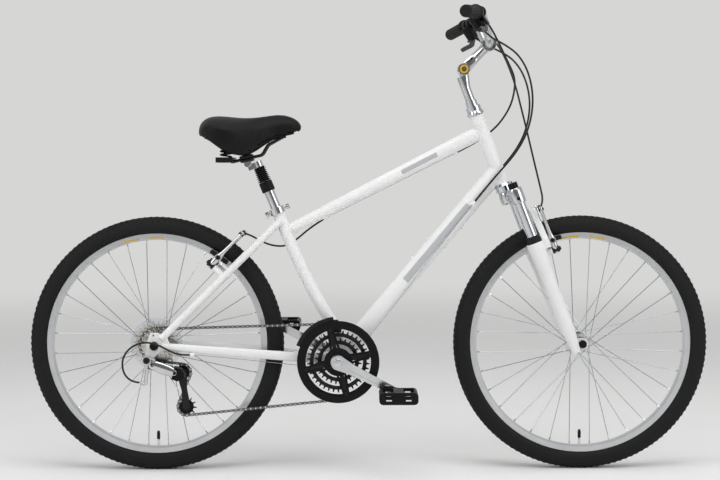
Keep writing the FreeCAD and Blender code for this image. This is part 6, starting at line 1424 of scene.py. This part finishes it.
@dataclass
class CrankDetails:
    """Guard bolts and pedal reflectors.

    Attributes:
        guard_face: Distance of the guard's outer face from the middle plane, in metres.
        bolt_circle: Radius of the circle of its bolts, in metres.
        guard_turn: Angle of the first bolt, in degrees.
        guard_bolts: Number of bolts.
        lens: Depth, width and height of a reflector, in millimetres.
        sunk: How far a reflector's middle lies inside the pedal's face.
    """

    guard_face: float = 0.0692
    bolt_circle: float = 0.0835
    guard_turn: float = 14
    guard_bolts: int = 4
    lens: Triple = (2.4, 46, 12)
    sunk: float = 1.0

    def build(self) -> None:
        """Makes the bolts and the reflectors."""
        bolts = bmesh.new()
        bolt = socket_bolt(4.4, -0.5, 1.8, 0.6, (2, 0.9), 16)
        for index in range(self.guard_bolts):
            turn = math.radians(self.guard_turn + 360 / self.guard_bolts * index)
            spot = Vector((math.cos(turn), 0, math.sin(turn))) * self.bolt_circle
            add_copy(bolts, bolt, standing(CRANK_AXIS + spot - ACROSS * self.guard_face, -ACROSS))
        bolt.free()
        piece_of(bolts, "guard_bolts", "crankset", BLACK_STEEL)
        for _, word in SIDES:
            self.reflectors(word)

    def reflectors(self, word: str) -> None:
        """Makes the amber reflectors on the front and back of one pedal.

        Args:
            word: The pedal's side.
        """
        low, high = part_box(f"{word}_pedal")
        middle = (low + high) / 2
        pair = bmesh.new()
        lens = block(self.lens, 0.8)
        for x in (low.x + self.sunk * MM, high.x - self.sunk * MM):
            add_copy(pair, lens, Matrix.Translation((x, middle.y, middle.z)))
        lens.free()
        piece_of(pair, f"{word}_pedal_reflectors", f"{word}_pedal", AMBER)


# Brakes


@dataclass
class BrakeDetails:
    """Long brake arms with their pads and bolts, and the boots over their link wires.

    Attributes:
        pad: Length, thickness and height of a pad, in millimetres.
        reach: Distance of a pad's middle from the wheel's middle plane.
        radius: Distance of a pad's middle from the axle.
        below: How far an arm's pivot lies below its pad.
        spread: Distance of a pivot from the wheel's middle plane.
        lean: How much further out an arm's tip is.
        length: Length of an arm.
        boot_ribs: Ribs of a link wire's boot.
        boot_pitch: Distance between two of them.
    """

    pad: Triple = (53, 11.4, 10.8)
    reach: float = 20.4
    radius: float = 276.3
    below: float = 26
    spread: float = 40
    lean: float = 12
    length: float = 113
    boot_ribs: int = 5
    boot_pitch: float = 5

    def build(self) -> None:
        """Makes the arms, pads and boots of both brakes."""
        self.pair("front", FRONT_AXLE, 24, STEER_AHEAD, STEER_UP)
        self.pair("rear", REAR_AXLE, 45, STAY_AHEAD, STAY_UP)
        self.boot("front", Vector((0.440, -0.042, 0.677)), "fork_slider")
        self.boot("rear", Vector((-0.321, -0.042, 0.614)), "frame")

    def pair(self, word: str, axle: Vector, ahead: float, forward: Vector, upward: Vector) -> None:
        """Makes both arms of one brake, with their pads.

        Args:
            word: The brake's name.
            axle: Middle of the wheel's axle.
            ahead: Distance of the pads from the line through the axle along the fork or stays, in millimetres.
            forward: Direction of that distance.
            upward: Direction of the fork or stays.
        """
        outward = forward * ahead + upward * math.sqrt(self.radius ** 2 - ahead ** 2)
        middle = axle + outward * MM
        outward.normalize()
        turn = Matrix((ACROSS.cross(outward), ACROSS, outward)).transposed().to_4x4()
        for side, hand in SIDES:
            body = f"{word}_brake_arm_{hand}"
            place = Matrix.Translation(middle + ACROSS * side * self.reach * MM) @ turn
            piece_of(block(self.pad, 1.6, 3), f"{word}_{hand}_brake_pad", body, SOFT_RUBBER, place)
            self.arm(body, middle - upward * self.below * MM, forward, upward, side)

    def arm(self, body: str, origin: Vector, forward: Vector, upward: Vector, side: int) -> None:
        """Makes one arm in the place of its CAD solid, with its pivot, nut and bolts.

        Args:
            body: CAD body and node of the arm.
            origin: Point midway between the brake's two pivots.
            forward: Direction of the pivots.
            upward: Direction of the fork or stays.
            side: One on the left, minus one on the right.
        """
        foot = origin + ACROSS * side * self.spread * MM
        tip = foot + (upward * self.length + ACROSS * side * self.lean) * MM
        eye = foot + upward * self.below * MM
        arm = bar(foot, tip, forward, [
            (-0.085, 4, 4), (-0.07, 6.6, 6.6), (0, 8.6, 8.6), (0.1, 8.4, 8), (0.17, 9.2, 7), (0.23, 9.6, 6.6),
            (0.3, 8, 6.2), (0.4, 5.4, 5.4), (0.65, 4.4, 4.8), (0.88, 4.2, 4.4), (0.94, 5.2, 5), (1.01, 5.2, 4.6),
            (1.04, 3, 3)])
        join(arm, turned([(0, -20), (3.6, -20), (3.6, 5), (9, 5), (9, 7.6), (8.2, 8.4), (0, 8.4)], 24),
             standing(eye, ACROSS * side))
        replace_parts(piece_of(arm, f"{body}_forging", body, POLISHED_ALLOY), body)
        dark = turned([(0, -10), (7.4, -10), (8.8, -9), (8.8, 9), (7.4, 10), (5, 10), (5, 13), (4.2, 14), (0, 14)], 28)
        bmesh.ops.transform(dark, matrix=standing(foot, forward), verts=dark.verts)
        join(dark, socket_bolt(6, 8, 12.4, 1, (2.8, 9.6), 24), standing(eye, ACROSS * side))
        clamp = turned([(0, -7), (3.2, -7), (4.2, -6), (4.2, 5.6), (3.4, 7), (0, 7)], 16)
        join(dark, clamp, standing(tip - upward * 3 * MM, forward))
        piece_of(dark, f"{body}_bolts", body, BLACK_STEEL)

    def boot(self, word: str, foot: Vector, body: str) -> None:
        """Makes the ribbed boot over one link wire.

        Args:
            word: The brake's name.
            foot: The wire's right end.
            body: CAD body that the boot rides on.
        """
        profile = [(1.0, 6)]
        for rib in range(self.boot_ribs):
            start = rib * self.boot_pitch
            profile += [(3.4, start + 7), (4.6, start + 8.6), (4.6, start + 10), (3.4, start + 11.6)]
        profile += [(1.0, 33)]
        piece_of(turned(profile, 20), f"{word}_brake_boot", body, SOFT_RUBBER, standing(foot, ACROSS), 50)


# Caps and rings


def axle_cap(radius: float, height: float = 10.2) -> list[tuple[float, float]]:
    """Gives the profile of a cap over an axle's nut, in millimetres.

    Args:
        radius: Radius of its foot.
        height: How far it stands off the drop-out.

    Returns:
        Radius and height of each corner.
    """
    return [(0, 0.2), (radius, 0.2), (radius - 0.6, height - 2), (radius - 2.4, height), (0, height)]


PAIRS = (
    TurnedPair("stem_ring", "steering", YELLOW, STEM_PIVOT, 24.1,
               [(6.2, 0), (10.6, 0), (11, 0.3), (11, 0.7), (10.5, 1.1), (6.2, 1.1)], 40),
    TurnedPair("stem_bolt", "steering", BLACK_STEEL, STEM_PIVOT, 24.1,
               [(0, 0), (5.6, 0), (5.6, 0.8), (4.8, 1.4), (2.6, 1.4), (2.6, 0.5), (0, 0.5)], 24),
    TurnedPair("crank_cap", "crankset", POLISHED_ALLOY, CRANK_AXIS, 86,
               [(0, -1), (11, -1), (11, 1.2), (10, 2), (5, 2.2), (4.2, 1.6), (0, 1.6)]),
    TurnedPair("front_axle_cap", "fork_slider", BLACK_PLASTIC, FRONT_AXLE, 58.2, axle_cap(10.4)),
    TurnedPair("rear_axle_cap", "frame", BLACK_PLASTIC, REAR_AXLE, 73.6, axle_cap(11.4)),
)


# Stage


@dataclass
class Studio:
    """Pale floor and backdrop, soft lamps, and the camera at the photograph's angle.

    Attributes:
        backdrop: Colour of the paper, sRGB hex.
        distance: Tone that it runs out into far away, sRGB hex.
        reach: How far the paper goes to the front and to each side, in metres.
        bend: Where it starts to curve up behind the object.
        curve: Radius of that curve.
        wall: Height of the wall above it.
        fade: Distances from the object at which the paper starts and ends to run out.
        lens: Focal length, in millimetres.
        eye: Place of the camera.
        pitch: How far it looks down, in degrees.
        roll: How far it leans, in degrees.
    """

    backdrop: str = "#F3F3F2"
    distance: str = "#D6D6D5"
    reach: float = 24
    bend: float = 9
    curve: float = 4
    wall: float = 5
    fade: tuple[float, float] = (2.0, 7.0)
    lens: float = 77.5
    eye: Triple = (-0.021, -4.0, 0.76)
    pitch: float = 2.4
    roll: float = 0.18

    def build(self) -> None:
        """Makes the stage, the lamps and the camera."""
        self.sweep()
        self.light()
        self.camera()
        bpy.context.scene.view_settings.view_transform = "Standard"

    def sweep(self) -> None:
        """Makes the floor that curves up into a back wall."""
        shape = bmesh.new()
        ends = [shape.verts.new((x, -self.reach, 0)) for x in (-self.reach, self.reach)]
        rear = self.drawn_out(shape, [shape.edges.new(ends)], (0, self.reach + self.bend, 0))
        bmesh.ops.spin(shape, geom=[rear, *rear.verts], axis=(1, 0, 0), cent=(0, self.bend, self.curve),
                       angle=math.pi / 2, steps=16)
        top = [edge for edge in shape.edges if all(abs(end.co.z - self.curve) < MM for end in edge.verts)]
        self.drawn_out(shape, top, (0, 0, self.wall))
        mesh = bpy.data.meshes.new("sweep")
        shape.to_mesh(mesh)
        shape.free()
        mesh.polygons.foreach_set("use_smooth", [True] * len(mesh.polygons))
        # Seamless paper: matt and pale, with a faint mottling.
        paper = Finish("seamless_paper", "", self.backdrop, "#EEEEEE", Grain.MOULDED, 4, 0.05, 900, (0.85, 0.95))
        material = paper.material()
        self.run_out(material.node_tree)
        mesh.materials.append(material)
        show("paper_sweep", mesh)

    def drawn_out(self, shape: Shape, edges: list[bmesh.types.BMEdge],
                  move: Triple) -> bmesh.types.BMEdge:
        """Draws a sheet out from its edge.

        Args:
            shape: The sheet.
            edges: Its edge.
            move: How far the new edge goes.

        Returns:
            The new edge.
        """
        new = bmesh.ops.extrude_edge_only(shape, edges=edges)["geom"]
        bmesh.ops.translate(shape, vec=move, verts=[part for part in new if isinstance(part, bmesh.types.BMVert)])
        return next(part for part in new if isinstance(part, bmesh.types.BMEdge))

    def run_out(self, tree: Tree) -> None:
        """Lets the paper far from the object run out into one even pale tone.

        Args:
            tree: The paper's nodes.
        """
        path = add_node(tree, "LightPath").outputs
        seen = add_node(tree, "Math", {0: path["Is Camera Ray"], 1: path["Is Glossy Ray"]}, use_clamp=True)
        seen = add_node(tree, "Math", {0: seen.outputs[0], 1: path["Is Transmission Ray"]}, use_clamp=True)
        reach = add_node(tree, "VectorMath", {0: add_node(tree, "TexCoord").outputs["Object"]}, operation="LENGTH")
        near, gone = self.fade
        far = add_node(tree, "MapRange", {"Value": reach.outputs["Value"], "From Min": near, "From Max": gone},
                       interpolation_type="SMOOTHSTEP")
        share = add_node(tree, "Math", {0: seen.outputs[0], 1: far.outputs["Result"]}, operation="MULTIPLY")
        even = add_node(tree, "Emission", {"Color": linear(self.distance), "Strength": 1.0})
        last = next(node for node in tree.nodes if node.type == "OUTPUT_MATERIAL").inputs["Surface"]
        mixed = add_node(tree, "MixShader", {0: share.outputs[0], 1: last.links[0].from_socket, 2: even.outputs[0]})
        tree.links.new(mixed.outputs[0], last)

    def light(self) -> None:
        """Sets the soft lamps and the room's light."""
        # Name, place, aim, side and watts of each lamp
        lamps = (("top_softbox", (0.2, -1.2, 3.4), (0.2, 0.1, 0.6), 3.2, 62),
                 ("left_softbox", (-3.2, -2.2, 2.0), (0, 0, 0.6), 2.0, 34),
                 ("right_softbox", (3.2, -2.4, 2.0), (0, 0, 0.6), 2.0, 34))
        for name, place, aim, size, watts in lamps:
            lamp = bpy.data.lights.new(name, "AREA")
            lamp.shape = "SQUARE"
            lamp.size = size
            lamp.energy = watts
            stand = show(name, lamp)
            stand.location = place
            stand.rotation_euler = (Vector(aim) - Vector(place)).to_track_quat("-Z", "Y").to_euler()
        world = bpy.data.worlds.new("room")
        world.use_nodes = True
        tree = world.node_tree
        tree.nodes.clear()
        # The room is darker behind the camera, which gives the metals their dark streaks.
        heading = add_node(tree, "SeparateXYZ", {"Vector": add_node(tree, "TexCoord").outputs["Generated"]})
        dim = add_node(tree, "MapRange", {"Value": heading.outputs["Y"], "From Min": -0.95, "From Max": -0.35,
                                          "To Min": 0.22, "To Max": 0.64})
        room = add_node(tree, "Background", {"Color": linear("#ECECEC"), "Strength": dim.outputs["Result"]})
        add_node(tree, "OutputWorld", {"Surface": room.outputs[0]})
        bpy.context.scene.world = world

    def camera(self) -> None:
        """Sets the camera."""
        data = bpy.data.cameras.new("photograph")
        data.sensor_width = 36
        data.lens = self.lens
        data.dof.use_dof = False
        eye = show("photograph", data)
        eye.location = self.eye
        eye.rotation_euler = (math.radians(90 - self.pitch), math.radians(self.roll), 0)
        bpy.context.scene.camera = eye


def main() -> None:
    """Builds the studio and every piece."""
    logging.basicConfig(level=logging.INFO, format="%(name)s: %(message)s")
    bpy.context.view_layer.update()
    Studio().build()
    dress_nodes()
    wheels = Wheel("rear", REAR_AXLE, -19, 4), Wheel("front", FRONT_AXLE, -11, 13)
    for assembly in (CableSet(), *wheels, SaddleCover(), SaddleClamp(), SeatPostBoot(), Grips(), StemArm(),
                     ForkCrown(), Chain(), DerailleurBody(), CrankDetails(), BrakeDetails(), *PAIRS):
        assembly.build()


if __name__ == "__main__":
    main()
